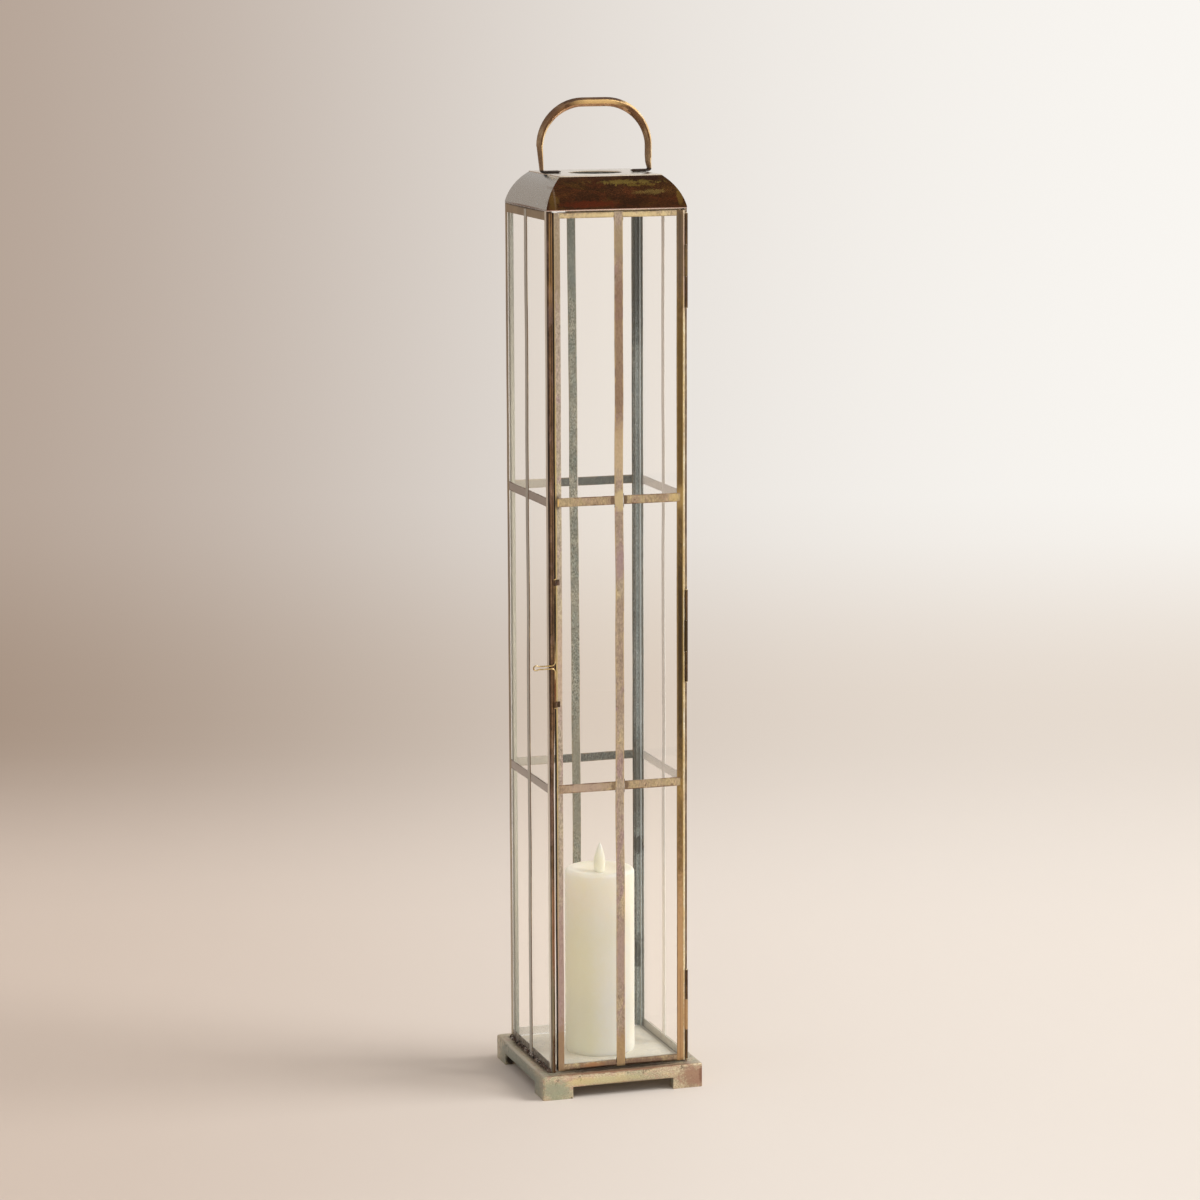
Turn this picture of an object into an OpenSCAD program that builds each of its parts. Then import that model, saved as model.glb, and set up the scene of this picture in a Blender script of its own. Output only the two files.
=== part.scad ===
// Tall four-sided floor lantern: a sheet-metal plinth, a glazed frame with one
// hinged door, a coved roof with a vent, a fixed handle and a flameless pillar candle.
// Millimetres, +Z up. The origin is the middle of the plinth's underside,
// +X runs to the right along the door and +Y runs to the back.

/* [Plinth] */
// Width and depth of the square plinth
plinth_w = 178; // [170:1:240]
// Height of the plinth
plinth_h = 26; // [20:1:45]
// Sheet thickness of the plinth
plinth_sheet = 1.2; // [0.8:0.1:2]
// Rounding of the plinth's four upright corners
plinth_corner_r = 2.5; // [2:0.5:8]
// Width of each foot, seen from one side
foot_w = 33; // [20:1:50]
// Height of the arch between two feet
arch_h = 12.5; // [6:0.5:16]
// How far the folded edge of a foot runs in under the plinth
foot_fold = 11; // [4:1:18]

/* [Frame] */
// Width and depth of the glazed body
body_w = 152; // [135:1:162]
// Height of the corner posts, from the plinth to the roof
frame_h = 912; // [700:1:1200]
// Sheet thickness of the frame, the door and the roof
sheet = 1; // [0.8:0.1:1.3]
// Leg of a full corner post
post_leg = 8; // [6:0.5:14]
// Leg of the back right post along the back side
wide_post_leg = 11.5; // [6:0.5:14]
// Front leg of the post beside the latch
latch_post_leg = 4.5; // [3.5:0.25:6]
// Front leg of the post that carries the hinges
hinge_post_leg = 2.3; // [2:0.1:2.8]
// Side leg of the post that carries the hinges
jamb_leg = 13; // [11:0.5:20]
// Height of the rails at the top and bottom of a fixed side
rail_h = 9.4; // [7:0.2:16]
// Width of a rail's folded edge
rail_fold = 5; // [4.4:0.1:5.3]
// Height of the lip at the front of the floor pan
pan_lip_h = 6; // [3:0.5:7]
// Gap round the floor pan
pan_gap = 0.3; // [0.1:0.1:1]

/* [Glazing bars] */
// Width of the upright strip in the middle of each side
muntin_w = 9.4; // [6:0.2:14]
// Width of the crossbars
crossbar_w = 9.4; // [6:0.2:14]
// Height of the upper crossbars' middle above the plinth
upper_bar_h = 610.6; // [500:1:650]
// Height of the lower crossbars' middle above the plinth
lower_bar_h = 306.8; // [200:1:400]
// Open joint between a crossbar and the upright strip
bar_gap = 0.4; // [0.2:0.1:0.8]

/* [Glass] */
// Thickness of the panes
glass_t = 2; // [1.6:0.1:2.2]
// Gap between a pane and the metal beside it
glass_gap = 0.3; // [0.2:0.05:0.4]
// Leg of the angles that hold the fixed panes from inside
angle_leg = 5; // [4:0.5:8]

/* [Door] */
// Depth of the door frame
door_d = 7; // [6.2:0.1:9]
// Gap between the door and the latch post
latch_side_gap = 3.1; // [2.6:0.1:4]
// Gap between the door and the hinge post
hinge_side_gap = 0.4; // [0.3:0.05:0.8]
// Gap under the door
door_floor_gap = 1.4; // [1.3:0.1:4]
// Gap between the door and the roof
door_head_gap = 1.6; // [1.4:0.1:4]
// Gap between the back of the door and its stops
stop_gap = 0.4; // [0.3:0.1:1]
// Front width of the stile beside the latch
latch_stile_w = 6; // [5:0.2:10]
// Front width of the stile beside the hinges
hinge_stile_w = 8.7; // [6:0.1:12]
// Height of the door's top rail
door_top_rail_h = 6; // [4:0.2:10]
// Height of the door's bottom rail
door_bottom_rail_h = 7; // [4:0.2:12]
// Width of the strips that hold the door's pane from inside
door_bead_w = 4; // [2:0.5:5]
// Length of the door stop under the roof
head_stop_l = 123; // [60:1:125]
// Depth of the door stop under the roof
head_stop_h = 7; // [3:0.5:7.4]

/* [Hinges] */
// Length of one hinge
hinge_l = 98; // [60:1:130]
// Height of the lowest hinge's foot above the plinth
low_hinge_z = 3; // [2:1:40]
// How far the middle hinge sits above the middle of the other two
mid_hinge_rise = 8; // [-60:1:60]
// Distance of the top hinge's head below the top of the posts
top_hinge_drop = 5; // [4:1:60]
// Radius of the hinge barrel
barrel_r = 1.25; // [1.1:0.05:1.3]
// Radius of the hinge pin
hinge_pin_r = 0.6; // [0.4:0.05:0.7]
// Running clearance between a pin and its knuckle, per side
pin_clearance = 0.05; // [0.02:0.01:0.1]
// Gap between two knuckles, along the pin
knuckle_gap = 0.4; // [0.3:0.1:1]
// Space between the barrel and the lantern's front face
barrel_gap = 0.35; // [0.3:0.01:0.45]
// Thickness of a hinge leaf
leaf_t = 0.6; // [0.5:0.05:0.8]
// Width of the leaf on the door
door_leaf_w = 5; // [3:0.5:8]
// Width of the leaf on the side of the post
post_leaf_w = 6; // [4:0.5:10]
// Radius of the hinge pin's heads
pin_head_r = 1; // [0.9:0.05:1.1]
// Height of a hinge pin's head
pin_head_h = 0.6; // [0.4:0.1:1]

/* [Latch] */
// Height of the latch's finger loop above the plinth
latch_h = 438; // [300:1:550]
// Diameter of the latch wire
latch_wire_d = 1.5; // [1.2:0.1:1.7]
// Length of the wire above the finger loop
latch_rise = 92; // [40:1:120]
// Length of the wire below the finger loop
latch_drop = 43; // [20:1:90]
// Bend radius where the wire turns into the finger loop
latch_bend_r = 2.2; // [1.5:0.1:4]
// Half the distance between the loop's two arms
loop_neck = 0.9; // [0.9:0.05:1.2]
// Radius of the ring at the loop's end
loop_ring_r = 2.5; // [2:0.1:4]
// Distance from the wire's axis to the centre of the ring
loop_reach = 21; // [18:0.5:28]
// Height of an eye that holds the latch wire
eye_h = 6; // [3:0.5:10]
// Wall of an eye round the latch wire
eye_wall = 0.6; // [0.4:0.1:0.8]
// Space between an eye and the lantern's front face
eye_gap = 0.4; // [0.3:0.05:0.6]
// Width of an eye's plate on the door
eye_plate_w = 4; // [2.5:0.5:5]
// Height of the collar that stops the latch wire at an eye
collar_h = 1; // [0.6:0.1:2]

/* [Roof] */
// Height of the upright hem at the eave
hem_h = 2; // [1.2:0.1:4]
// Width of the fold under the hem
hem_fold = 5; // [3:0.5:8]
// Rise of the roof above its hem
roof_rise = 31.5; // [25:0.5:45]
// Width of the flat crown
crown_w = 111; // [100:1:120]
// Thickness of the crown plate
crown_t = 1; // [0.8:0.1:2]
// Radius of the curve of the roof
roof_curve_r = 55.6; // [50:0.2:90]
// Diameter of the vent in the crown
vent_d = 56; // [30:1:66]

/* [Handle] */
// Overall width of the handle
handle_w = 127; // [120:1:134]
// Height of the handle above the crown
handle_h = 77.9; // [65:0.1:110]
// Thickness of the handle bar, across the bend
bar_t = 7; // [5:0.5:10]
// Width of the handle bar, front to back
bar_w = 10; // [8:0.5:16]
// Outer radius of the handle's upper corners
handle_corner_r = 50; // [30:1:58]
// Height of the part of each leg that thins towards its foot
leg_taper_h = 24; // [10:1:26]
// How much thinner each leg is at its foot
leg_taper = 4; // [1:0.5:4.5]
// Length of the flattened foot under each leg
handle_foot_l = 20; // [14:0.5:26]
// Thickness of the flattened foot
handle_foot_t = 2; // [1.5:0.25:3]
// Width of the flattened foot
handle_foot_w = 12; // [10:0.5:18]

/* [Candle] */
// Diameter of the pillar candle
candle_d = 75; // [70:1:90]
// Height of the pillar candle's rim
candle_h = 200; // [140:1:260]
// How far the candle stands to the right of the middle
candle_x = 2; // [-10:0.5:10]
// Gap between the candle and the floor pan
candle_gap = 0.3; // [0.2:0.05:0.5]
// Rounding of the candle's rim
candle_rim_r = 4; // [2:0.5:6]
// Radius of the dish in the candle's top
dish_r = 31; // [20:1:31]
// Depth of the dish in the candle's top
dish_depth = 5; // [2:0.5:8]
// Height of the hollow inside the candle
hollow_h = 150; // [90:1:180]
// Radius of the battery tray inside the candle
tray_r = 29; // [28:0.5:29]
// Height of the battery tray
tray_h = 64; // [62:1:80]
// Radius of the battery tray's flange
tray_flange_r = 32.5; // [32:0.5:33]
// Thickness of the battery tray's flange
tray_flange_t = 2.4; // [2:0.1:3]
// Height of the tray's underside above the candle's foot
tray_lift = 0.6; // [0.4:0.1:1.5]
// Gap between the tray and the wax
tray_gap = 0.3; // [0.2:0.1:0.5]

/* [Candle cells] */
// Diameter of one battery cell
cell_d = 14.5; // [14:0.1:14.5]
// Length of one battery cell, without its nub
cell_l = 49.5; // [44:0.5:50]
// Height of a cell's nub
nub_h = 1; // [0.6:0.1:1.5]
// Radius of a cell's nub
nub_r = 2.75; // [2:0.25:3.5]
// Distance between the two cells' axes
cell_pitch = 17; // [16.5:0.5:20]
// How far the cells lie behind the tray's middle
cell_y = 5; // [3:0.5:6]
// Gap between the cells and their bay
cell_gap = 0.3; // [0.2:0.05:0.5]
// Thickness of a contact
contact_t = 0.5; // [0.3:0.1:0.8]
// Width of the contact strip under the cells
contact_w = 7; // [4:0.5:10]
// Radius of the contact above each cell
contact_r = 4; // [3:0.5:6]
// Length of the battery lid
lid_l = 37; // [36:0.5:42]
// Width of the battery lid
lid_w = 19; // [17.5:0.5:22]
// Thickness of the battery lid
lid_t = 1.2; // [0.8:0.1:1.4]

/* [Candle switch] */
// Travel of the slide switch
switch_travel = 4; // [2:0.5:5]
// How far the switch lies in front of the tray's middle
switch_y = 20; // [18:0.5:21]
// Length of the switch's knob
knob_l = 5; // [3:0.5:6]
// Width of the switch's knob
knob_w = 4; // [3:0.5:5]
// Length of the slide inside the tray
slide_l = 8; // [7:0.5:10]
// Width of the slide inside the tray
slide_w = 7; // [6:0.5:8]
// Thickness of the slide inside the tray
slide_t = 2; // [1:0.25:3]
// Gap round the sliding switch
switch_gap = 0.3; // [0.3:0.1:0.5]

/* [Candle flame] */
// Height of the plastic flame above the dish
flame_h = 33; // [24:0.5:45]
// Width of the plastic flame
flame_w = 13.5; // [10:0.5:18]
// Height of the flame's widest place above the dish
flame_belly_h = 10.5; // [8:0.5:12]
// Radius of the flame's foot
flame_foot_r = 5; // [4.5:0.1:5]
// Length of the flame's stem, down into the wax
stem_l = 12; // [9:0.5:20]
// Radius of the flame's stem
stem_r = 4.2; // [3.8:0.1:4.4]
// Gap between the stem and the wax
stem_gap = 0.3; // [0.1:0.05:0.5]
// Radius of the lamp inside the flame
led_r = 2.5; // [1.5:0.1:2.6]
// Length of the lamp inside the flame
led_l = 8.6; // [5:0.1:9]
// Gap between the lamp and the flame
led_gap = 0.2; // [0.1:0.05:0.4]
// Radius of a lead to the lamp
lead_r = 0.4; // [0.3:0.05:0.6]
// Half the distance between the two leads
lead_x = 1.3; // [0.8:0.1:1.5]

/* [Hidden] */
$fn = 64;

// Turns from the front side to the others
RIGHT = 90;
BACK = 180;
LEFT = -90;

// Overshoot of a cutting solid, so that no cut ends on a face
over = 1;

// Plinth
plinth_half = plinth_w / 2;
skirt_h = plinth_h - plinth_sheet;
arch_half = plinth_half - foot_w;

// Frame, from the outer face inwards
half = body_w / 2;
inner = half - sheet;
glass_out = inner - glass_gap;
glass_in = glass_out - glass_t;
angle_out = glass_in - glass_gap;
angle_in = angle_out - sheet;
fold_in = inner - rail_fold;
frame_top = plinth_h + frame_h;
pan_top = plinth_h + sheet;
rail_top = frame_top - sheet;

// Door
door_left = -half + latch_post_leg + latch_side_gap;
door_right = half - hinge_post_leg - hinge_side_gap;
door_back = -half + door_d;
door_bottom = plinth_h + door_floor_gap;
door_top = frame_top - door_head_gap;
door_mid = (door_left + latch_stile_w + door_right - hinge_stile_w + hinge_side_gap) / 2;
stop_y = door_back + stop_gap;
bar_heights = [plinth_h + upper_bar_h, plinth_h + lower_bar_h];
bead_joint = 0.2;

// Hinges
hinge_x = half - barrel_r;
hinge_y = -half - barrel_gap - barrel_r;
low_hinge_foot = plinth_h + low_hinge_z;
top_hinge_foot = frame_top - top_hinge_drop - hinge_l;
mid_hinge_foot = (low_hinge_foot + top_hinge_foot) / 2 + mid_hinge_rise;
hinge_feet = [low_hinge_foot, mid_hinge_foot, top_hinge_foot];
knuckle_l = hinge_l / 3;

// Latch
wire_r = latch_wire_d / 2;
eye_bore_r = wire_r + pin_clearance;
eye_r = eye_bore_r + eye_wall;
latch_x = (door_left - half + latch_post_leg) / 2;
latch_y = -half - eye_gap - eye_r;
latch_z = plinth_h + latch_h;
eye_feet = [latch_z - latch_drop, latch_z + latch_rise - eye_h];
ring_swell = 0.05;
collar_gap = 0.05;

// Roof
eave_z = frame_top + hem_h;
crown_z = eave_z + roof_rise;
crown_top = crown_z + crown_t;
crown_half = crown_w / 2;
roof_chord = norm([half - crown_half, roof_rise]);
roof_sagitta = sqrt(roof_curve_r * roof_curve_r - roof_chord * roof_chord / 4);
roof_cx = (half + crown_half) / 2 - roof_sagitta * roof_rise / roof_chord;
roof_cz = (eave_z + crown_z) / 2 - roof_sagitta * (half - crown_half) / roof_chord;

// Handle
handle_mid_r = handle_corner_r - bar_t / 2;
handle_cx = handle_w / 2 - handle_corner_r;
handle_cz = crown_top + handle_h - handle_corner_r;
leg_x = handle_w / 2 - bar_t / 2;

// Candle
candle_r = candle_d / 2;
candle_z = pan_top + candle_gap;
tray_top_z = tray_lift + tray_h;
step_h = tray_lift + tray_flange_t;
dish_curve_r = (dish_r * dish_r + dish_depth * dish_depth) / (2 * dish_depth);
dish_z = candle_h - dish_depth;
bay_half_w = cell_d / 2 + cell_gap;
bay_half_l = cell_pitch / 2 + bay_half_w;
lid_top = tray_lift + lid_t;
cell_z = lid_top + contact_t;
nub_top = cell_z + cell_l + nub_h;
lid_gap = cell_gap;
knob_z = tray_lift + switch_gap;
slide_z = step_h + switch_gap;
slide_x = -switch_travel / 2;
flame_steps = 8;
flame_foot_z = 0.5;
led_z = dish_z - stem_l + over;

// A box between two opposite corners
module block(low, high) {
    translate(low) cube(high - low);
}

// A square outline with round corners
module rounded_square(w, r) {
    square([w - 2 * r, w], center = true);
    square([w, w - 2 * r], center = true);
    for (sx = [-1, 1], sy = [-1, 1])
        translate([sx * (w / 2 - r), sy * (w / 2 - r)]) circle(r);
}

// Plinth
module plinth_top() {
    color("darkkhaki")
        translate([0, 0, skirt_h]) linear_extrude(plinth_sheet) rounded_square(plinth_w, plinth_corner_r);
}

// One side of the plinth: a mitred wall with the arch cut out between two feet,
// and the folded edge that stiffens each foot
module plinth_skirt(turn) {
    in_y = -plinth_half + plinth_sheet;
    color("darkkhaki") rotate(turn) intersection() {
        linear_extrude(skirt_h) rounded_square(plinth_w, plinth_corner_r);
        union() {
            difference() {
                linear_extrude(skirt_h)
                    polygon([[-plinth_half, -plinth_half], [plinth_half, -plinth_half],
                             [-in_y, in_y], [in_y, in_y]]);
                block([-arch_half, -plinth_half - over, -over],
                      [arch_half, in_y + over, arch_h]);
            }
            for (side = [0, 1]) mirror([side, 0, 0])
                block([arch_half, -plinth_half, 0],
                      [arch_half + plinth_sheet, -plinth_half + foot_fold, arch_h]);
        }
    }
}

module plinth_skirt_front() { plinth_skirt(0); }
module plinth_skirt_back() { plinth_skirt(BACK); }
module plinth_skirt_left() { plinth_skirt(LEFT); }
module plinth_skirt_right() { plinth_skirt(RIGHT); }

// Floor of the lantern, with a lip that the closed door meets
module floor_pan() {
    edge = fold_in - pan_gap;
    color("darkgray") {
        block([-edge, stop_y, plinth_h], [edge, edge, pan_top]);
        block([-edge, stop_y, plinth_h], [edge, stop_y + sheet, pan_top + pan_lip_h]);
    }
}

// An angle post at the front left corner: leg_x runs along the front, leg_y along the side
module corner_post(along_front, along_side, front_top) {
    color("saddlebrown") {
        block([-half, -half, plinth_h], [-inner, -half + along_side, frame_top]);
        block([-half, -half, plinth_h], [-half + along_front, -inner, front_top]);
    }
}

module post_front_left() { corner_post(latch_post_leg, post_leg, door_top); }
module post_front_right() { mirror([1, 0, 0]) corner_post(hinge_post_leg, jamb_leg, frame_top); }
module post_back_left() { mirror([0, 1, 0]) corner_post(post_leg, post_leg, frame_top); }
module post_back_right() { rotate(BACK) corner_post(wide_post_leg, post_leg, frame_top); }

// A rail along the front side: an upright strip from x0 to x1, and a folded edge
// from fold_x0 to fold_x1 at the height fold_z
module rail(x0, x1, fold_x0, fold_x1, strip_z, fold_z) {
    color("dimgray") {
        block([x0, -half, strip_z], [x1, -inner, strip_z + rail_h]);
        block([fold_x0, -inner, fold_z], [fold_x1, -fold_in, fold_z + sheet]);
    }
}

module left_rail(strip_z, fold_z) {
    rotate(LEFT) rail(-half + post_leg, half - post_leg, -inner, inner, strip_z, fold_z);
}

module right_rail(strip_z, fold_z) {
    rotate(RIGHT) rail(-half + jamb_leg, half - post_leg, stop_y, inner, strip_z, fold_z);
}

module back_rail(strip_z, fold_z) {
    rotate(BACK) rail(-half + wide_post_leg, half - post_leg, -fold_in, fold_in, strip_z, fold_z);
}

module bottom_rail_left() { left_rail(plinth_h, plinth_h); }
module bottom_rail_right() { right_rail(plinth_h, plinth_h); }
module bottom_rail_back() { back_rail(plinth_h, plinth_h); }
module top_rail_left() { left_rail(frame_top - rail_h, rail_top); }
module top_rail_right() { right_rail(frame_top - rail_h, rail_top); }
module top_rail_back() { back_rail(frame_top - rail_h, rail_top); }

// Angle under the front of the roof that stops the door's top rail
module door_head_stop() {
    right_end = fold_in - pan_gap;
    color("dimgray") {
        block([right_end - head_stop_l, -inner, rail_top], [right_end, stop_y + sheet, frame_top]);
        block([right_end - head_stop_l, stop_y, frame_top - head_stop_h],
              [right_end, stop_y + sheet, frame_top]);
    }
}

// A fixed pane on the front side, standing on the fold of its bottom rail
module pane(x0, x1) {
    color("lightcyan", 0.35) block([x0, -glass_out, pan_top], [x1, -glass_in, rail_top - glass_gap]);
}

module glass_left() { rotate(LEFT) pane(-angle_out, inner - sheet - glass_gap); }
module glass_right() { rotate(RIGHT) pane(stop_y + sheet + glass_gap, angle_out); }
module glass_back() { rotate(BACK) pane(-glass_out, glass_out); }

// The upright strip of a fixed side, between its two rails
module side_muntin(turn) {
    color("gray") rotate(turn)
        block([-muntin_w / 2, -half, plinth_h + rail_h], [muntin_w / 2, -inner, frame_top - rail_h]);
}

module muntin_left() { side_muntin(LEFT); }
module muntin_right() { side_muntin(RIGHT); }
module muntin_back() { side_muntin(BACK); }

// Two crossbars on the front side, each cut in two by the upright strip at mid
module crossbar_pairs(x0, x1, mid) {
    for (z = bar_heights) {
        block([x0, -half, z - crossbar_w / 2], [mid - muntin_w / 2 - bar_gap, -inner, z + crossbar_w / 2]);
        block([mid + muntin_w / 2, -half, z - crossbar_w / 2], [x1, -inner, z + crossbar_w / 2]);
    }
}

module crossbars_left() {
    color("gray") rotate(LEFT) crossbar_pairs(-half + post_leg, half - post_leg, 0);
}

module crossbars_right() {
    color("gray") rotate(RIGHT) crossbar_pairs(-half + jamb_leg, half - post_leg, 0);
}

module crossbars_back() {
    color("gray") rotate(BACK) crossbar_pairs(-half + wide_post_leg, half - post_leg, 0);
}

// Angles in the two back corners, each holding two panes
module glass_angles_back() {
    color("slategray") for (side = [0, 1]) mirror([side, 0, 0]) {
        block([angle_in, angle_out - angle_leg, pan_top], [angle_out, angle_out, rail_top]);
        block([angle_out - angle_leg, angle_in, pan_top], [angle_out, angle_out, rail_top]);
    }
}

// An angle that closes the front edge of a side pane, on the right, from y backwards
module front_angle(y) {
    block([angle_in, y, pan_top], [inner, y + sheet, rail_top]);
    block([angle_in, y, pan_top], [angle_out, y + angle_leg, rail_top]);
}

module glass_angles_front() {
    color("slategray") {
        front_angle(stop_y);
        mirror([1, 0, 0]) front_angle(-inner);
    }
}

// Outline of one side of the roof: a curved sheet over an upright hem with a fold
module roof_outline() {
    intersection() {
        translate([roof_cx, roof_cz]) difference() {
            circle(roof_curve_r, $fn = 180);
            circle(roof_curve_r - sheet, $fn = 180);
        }
        translate([roof_cx, eave_z]) square([roof_curve_r + over, roof_rise]);
    }
    translate([inner, frame_top]) square([sheet, hem_h]);
    translate([half - sheet - hem_fold, frame_top]) square([hem_fold + sheet / 2, sheet]);
}

// One side of the roof, mitred at both ends
module roof_side(turn, tint) {
    color(tint) rotate(turn + BACK) intersection() {
        rotate([90, 0, 90]) linear_extrude(body_w, center = true) roof_outline();
        translate([0, 0, frame_top - over]) linear_extrude(hem_h + roof_rise + 2 * over)
            polygon([[0, 0], [body_w, body_w], [-body_w, body_w]]);
    }
}

module roof_front() { roof_side(0, "saddlebrown"); }
module roof_back() { roof_side(BACK, "saddlebrown"); }
module roof_left() { roof_side(LEFT, "silver"); }
module roof_right() { roof_side(RIGHT, "saddlebrown"); }

// Flat top of the roof with the round vent
module crown_plate() {
    color("tan") translate([0, 0, crown_z]) difference() {
        translate([-crown_half, -crown_half, 0]) cube([crown_w, crown_w, crown_t]);
        translate([0, 0, -over]) cylinder(r = vent_d / 2, h = crown_t + 2 * over);
    }
}

// Section of the handle bar: thick along x, wide along y, with round edges
module bar_section() {
    square([bar_t, bar_w - bar_t], center = true);
    for (side = [-1, 1]) translate([0, side * (bar_w - bar_t) / 2]) circle(bar_t / 2);
}

// Half of the handle's arch, on the right: half the top and one corner
module half_arch() {
    rotate([90, 0, 90]) linear_extrude(handle_cx)
        translate([0, crown_top + handle_h - bar_t / 2]) rotate(90) bar_section();
    translate([handle_cx, 0, handle_cz]) rotate([90, 0, 0])
        rotate_extrude(angle = 90, $fn = 128) translate([handle_mid_r, 0]) bar_section();
}

// One leg of the handle, on the right, with its foot turned inwards. The leg thins
// towards the foot: cut_out is taken off its outer face and cut_in off its inner face.
module handle_leg(cut_out, cut_in) {
    outer = leg_x + bar_t / 2;
    centre = leg_x;
    difference() {
        translate([centre, 0, crown_top]) linear_extrude(handle_cz - crown_top) bar_section();
        leg_wedge(outer, cut_out);
        translate([2 * centre, 0, 0]) mirror([1, 0, 0]) leg_wedge(outer, cut_in);
    }
    block([outer - cut_out - handle_foot_l, -handle_foot_w / 2, crown_top],
          [outer - cut_out, handle_foot_w / 2, crown_top + handle_foot_t]);
}

// The wedge that thins one face of a leg
module leg_wedge(edge, cut) {
    taper_z = crown_top + leg_taper_h;
    if (cut > 0) translate([0, bar_w, 0]) rotate([90, 0, 0]) linear_extrude(2 * bar_w)
        polygon([[edge - cut, crown_top - over], [edge - cut, crown_top], [edge, taper_z],
                 [edge + over, taper_z], [edge + over, crown_top - over]]);
}

// The left leg thins from outside and the right one from inside, as if bent by hand
module handle() {
    color("goldenrod") {
        half_arch();
        mirror([1, 0, 0]) half_arch();
        handle_leg(0, leg_taper);
        mirror([1, 0, 0]) handle_leg(leg_taper, 0);
    }
}

// Upright round bar or hole at the hinge axis
module hinge_rod(r, z0, z1) {
    translate([hinge_x, hinge_y, z0]) cylinder(r = r, h = z1 - z0);
}

// Leaf on the post: it wraps the corner, and carries the two outer knuckles
module post_leaf(z) {
    difference() {
        union() {
            block([half, -half - leaf_t, z], [half + leaf_t, -half + post_leaf_w, z + hinge_l]);
            for (foot = [z, z + hinge_l - knuckle_l + knuckle_gap]) {
                block([half - hinge_post_leg, -half - leaf_t, foot],
                      [half + leaf_t, -half, foot + knuckle_l - knuckle_gap]);
                hinge_rod(barrel_r, foot, foot + knuckle_l - knuckle_gap);
            }
        }
        hinge_rod(hinge_pin_r + pin_clearance, z - over, z + hinge_l + over);
    }
}

module hinge_post_leaves() {
    color("peru") for (z = hinge_feet) post_leaf(z);
}

// Leaf on the door: a strip on the stile with the middle knuckle
module door_leaf(z) {
    low = z + knuckle_l;
    high = z + 2 * knuckle_l;
    difference() {
        union() {
            block([door_right - door_leaf_w, -half - leaf_t, z], [door_right, -half, z + hinge_l]);
            block([door_right - sheet, hinge_y, low], [hinge_x, -half - barrel_gap, high]);
            hinge_rod(barrel_r, low, high);
        }
        hinge_rod(hinge_pin_r + pin_clearance, z - over, z + hinge_l + over);
    }
}

module hinge_door_leaves() {
    color("peru") for (z = hinge_feet) door_leaf(z);
}

// Pins with a head at each end, seated on the outer knuckles
module hinge_pins() {
    color("gold") for (z = hinge_feet) {
        hinge_rod(hinge_pin_r, z - pin_head_h / 2, z + hinge_l + pin_head_h / 2);
        hinge_rod(pin_head_r, z - pin_head_h, z);
        hinge_rod(pin_head_r, z + hinge_l, z + hinge_l + pin_head_h);
    }
}

// Stiles: angles with the front strip and a side flange
module door_stile_latch() {
    color("tan") {
        block([door_left, -half, door_bottom], [door_left + latch_stile_w, -inner, door_top]);
        block([door_left, -half, door_bottom], [door_left + sheet, door_back, door_top]);
    }
}

module door_stile_hinge() {
    color("peru") {
        block([door_right - hinge_stile_w, -half, door_bottom], [door_right, -inner, door_top]);
        block([door_right - sheet, -half, door_bottom], [door_right, door_back, door_top]);
    }
}

// A door rail: a front strip notched for the upright strip, and a flange behind
module door_rail(strip_z0, strip_z1, flange_z) {
    color("tan") {
        difference() {
            block([door_left + latch_stile_w, -half, strip_z0], [door_right - hinge_stile_w, -inner, strip_z1]);
            block([door_mid - muntin_w / 2, -half - over, strip_z0 - over],
                  [door_mid + muntin_w / 2, -inner + over, strip_z1 + over]);
        }
        block([door_left + sheet, -inner, flange_z], [door_right - sheet, door_back, flange_z + sheet]);
    }
}

module door_rail_top() { door_rail(door_top - door_top_rail_h, door_top, door_top - sheet); }
module door_rail_bottom() { door_rail(door_bottom, door_bottom + door_bottom_rail_h, door_bottom); }

module door_glass() {
    color("lightcyan", 0.35)
        block([door_left + sheet + glass_gap, -glass_out, door_bottom + sheet],
              [door_right - sheet - glass_gap, -glass_in, door_top - sheet - glass_gap]);
}

module door_muntin() {
    color("rosybrown")
        block([door_mid - muntin_w / 2, -half, door_bottom], [door_mid + muntin_w / 2, -inner, door_top]);
}

module door_crossbars() {
    color("tan") crossbar_pairs(door_left + latch_stile_w, door_right - hinge_stile_w, door_mid);
}

// Four strips behind the door's pane: full height at the stiles, and fitted between them
module door_glass_beads() {
    x0 = door_left + sheet;
    x1 = door_right - sheet;
    z0 = door_bottom + sheet;
    z1 = door_top - sheet;
    low_x = x0 + door_bead_w + bead_joint;
    high_x = x1 - door_bead_w - bead_joint;
    color("slategray") {
        block([x0, -angle_out, z0], [x0 + door_bead_w, -angle_in, z1]);
        block([x1 - door_bead_w, -angle_out, z0], [x1, -angle_in, z1]);
        block([low_x, -angle_out, z0], [high_x, -angle_in, z0 + door_bead_w]);
        block([low_x, -angle_out, z1 - door_bead_w], [high_x, -angle_in, z1]);
    }
}

// Eyes on the door's edge that the latch wire turns in
module latch_eyes() {
    color("peru") for (z = eye_feet) difference() {
        union() {
            block([door_left, -half - leaf_t, z], [door_left + eye_plate_w, -half, z + eye_h]);
            block([latch_x, latch_y, z], [door_left + leaf_t, -half - eye_gap, z + eye_h]);
            translate([latch_x, latch_y, z]) cylinder(r = eye_r, h = eye_h);
        }
        translate([latch_x, latch_y, z - over]) cylinder(r = eye_bore_r, h = eye_h + 2 * over);
    }
}

// A round wire of radius tube bent round the y axis: radius r, from angle a0 through sweep
module wire_bend(centre, r, a0, sweep, tube = wire_r) {
    translate([centre[0], 0, centre[1]]) rotate([90, 0, 0]) rotate(a0)
        rotate_extrude(angle = sweep, $fn = 96) translate([r, 0]) circle(tube, $fn = 32);
}

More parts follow.
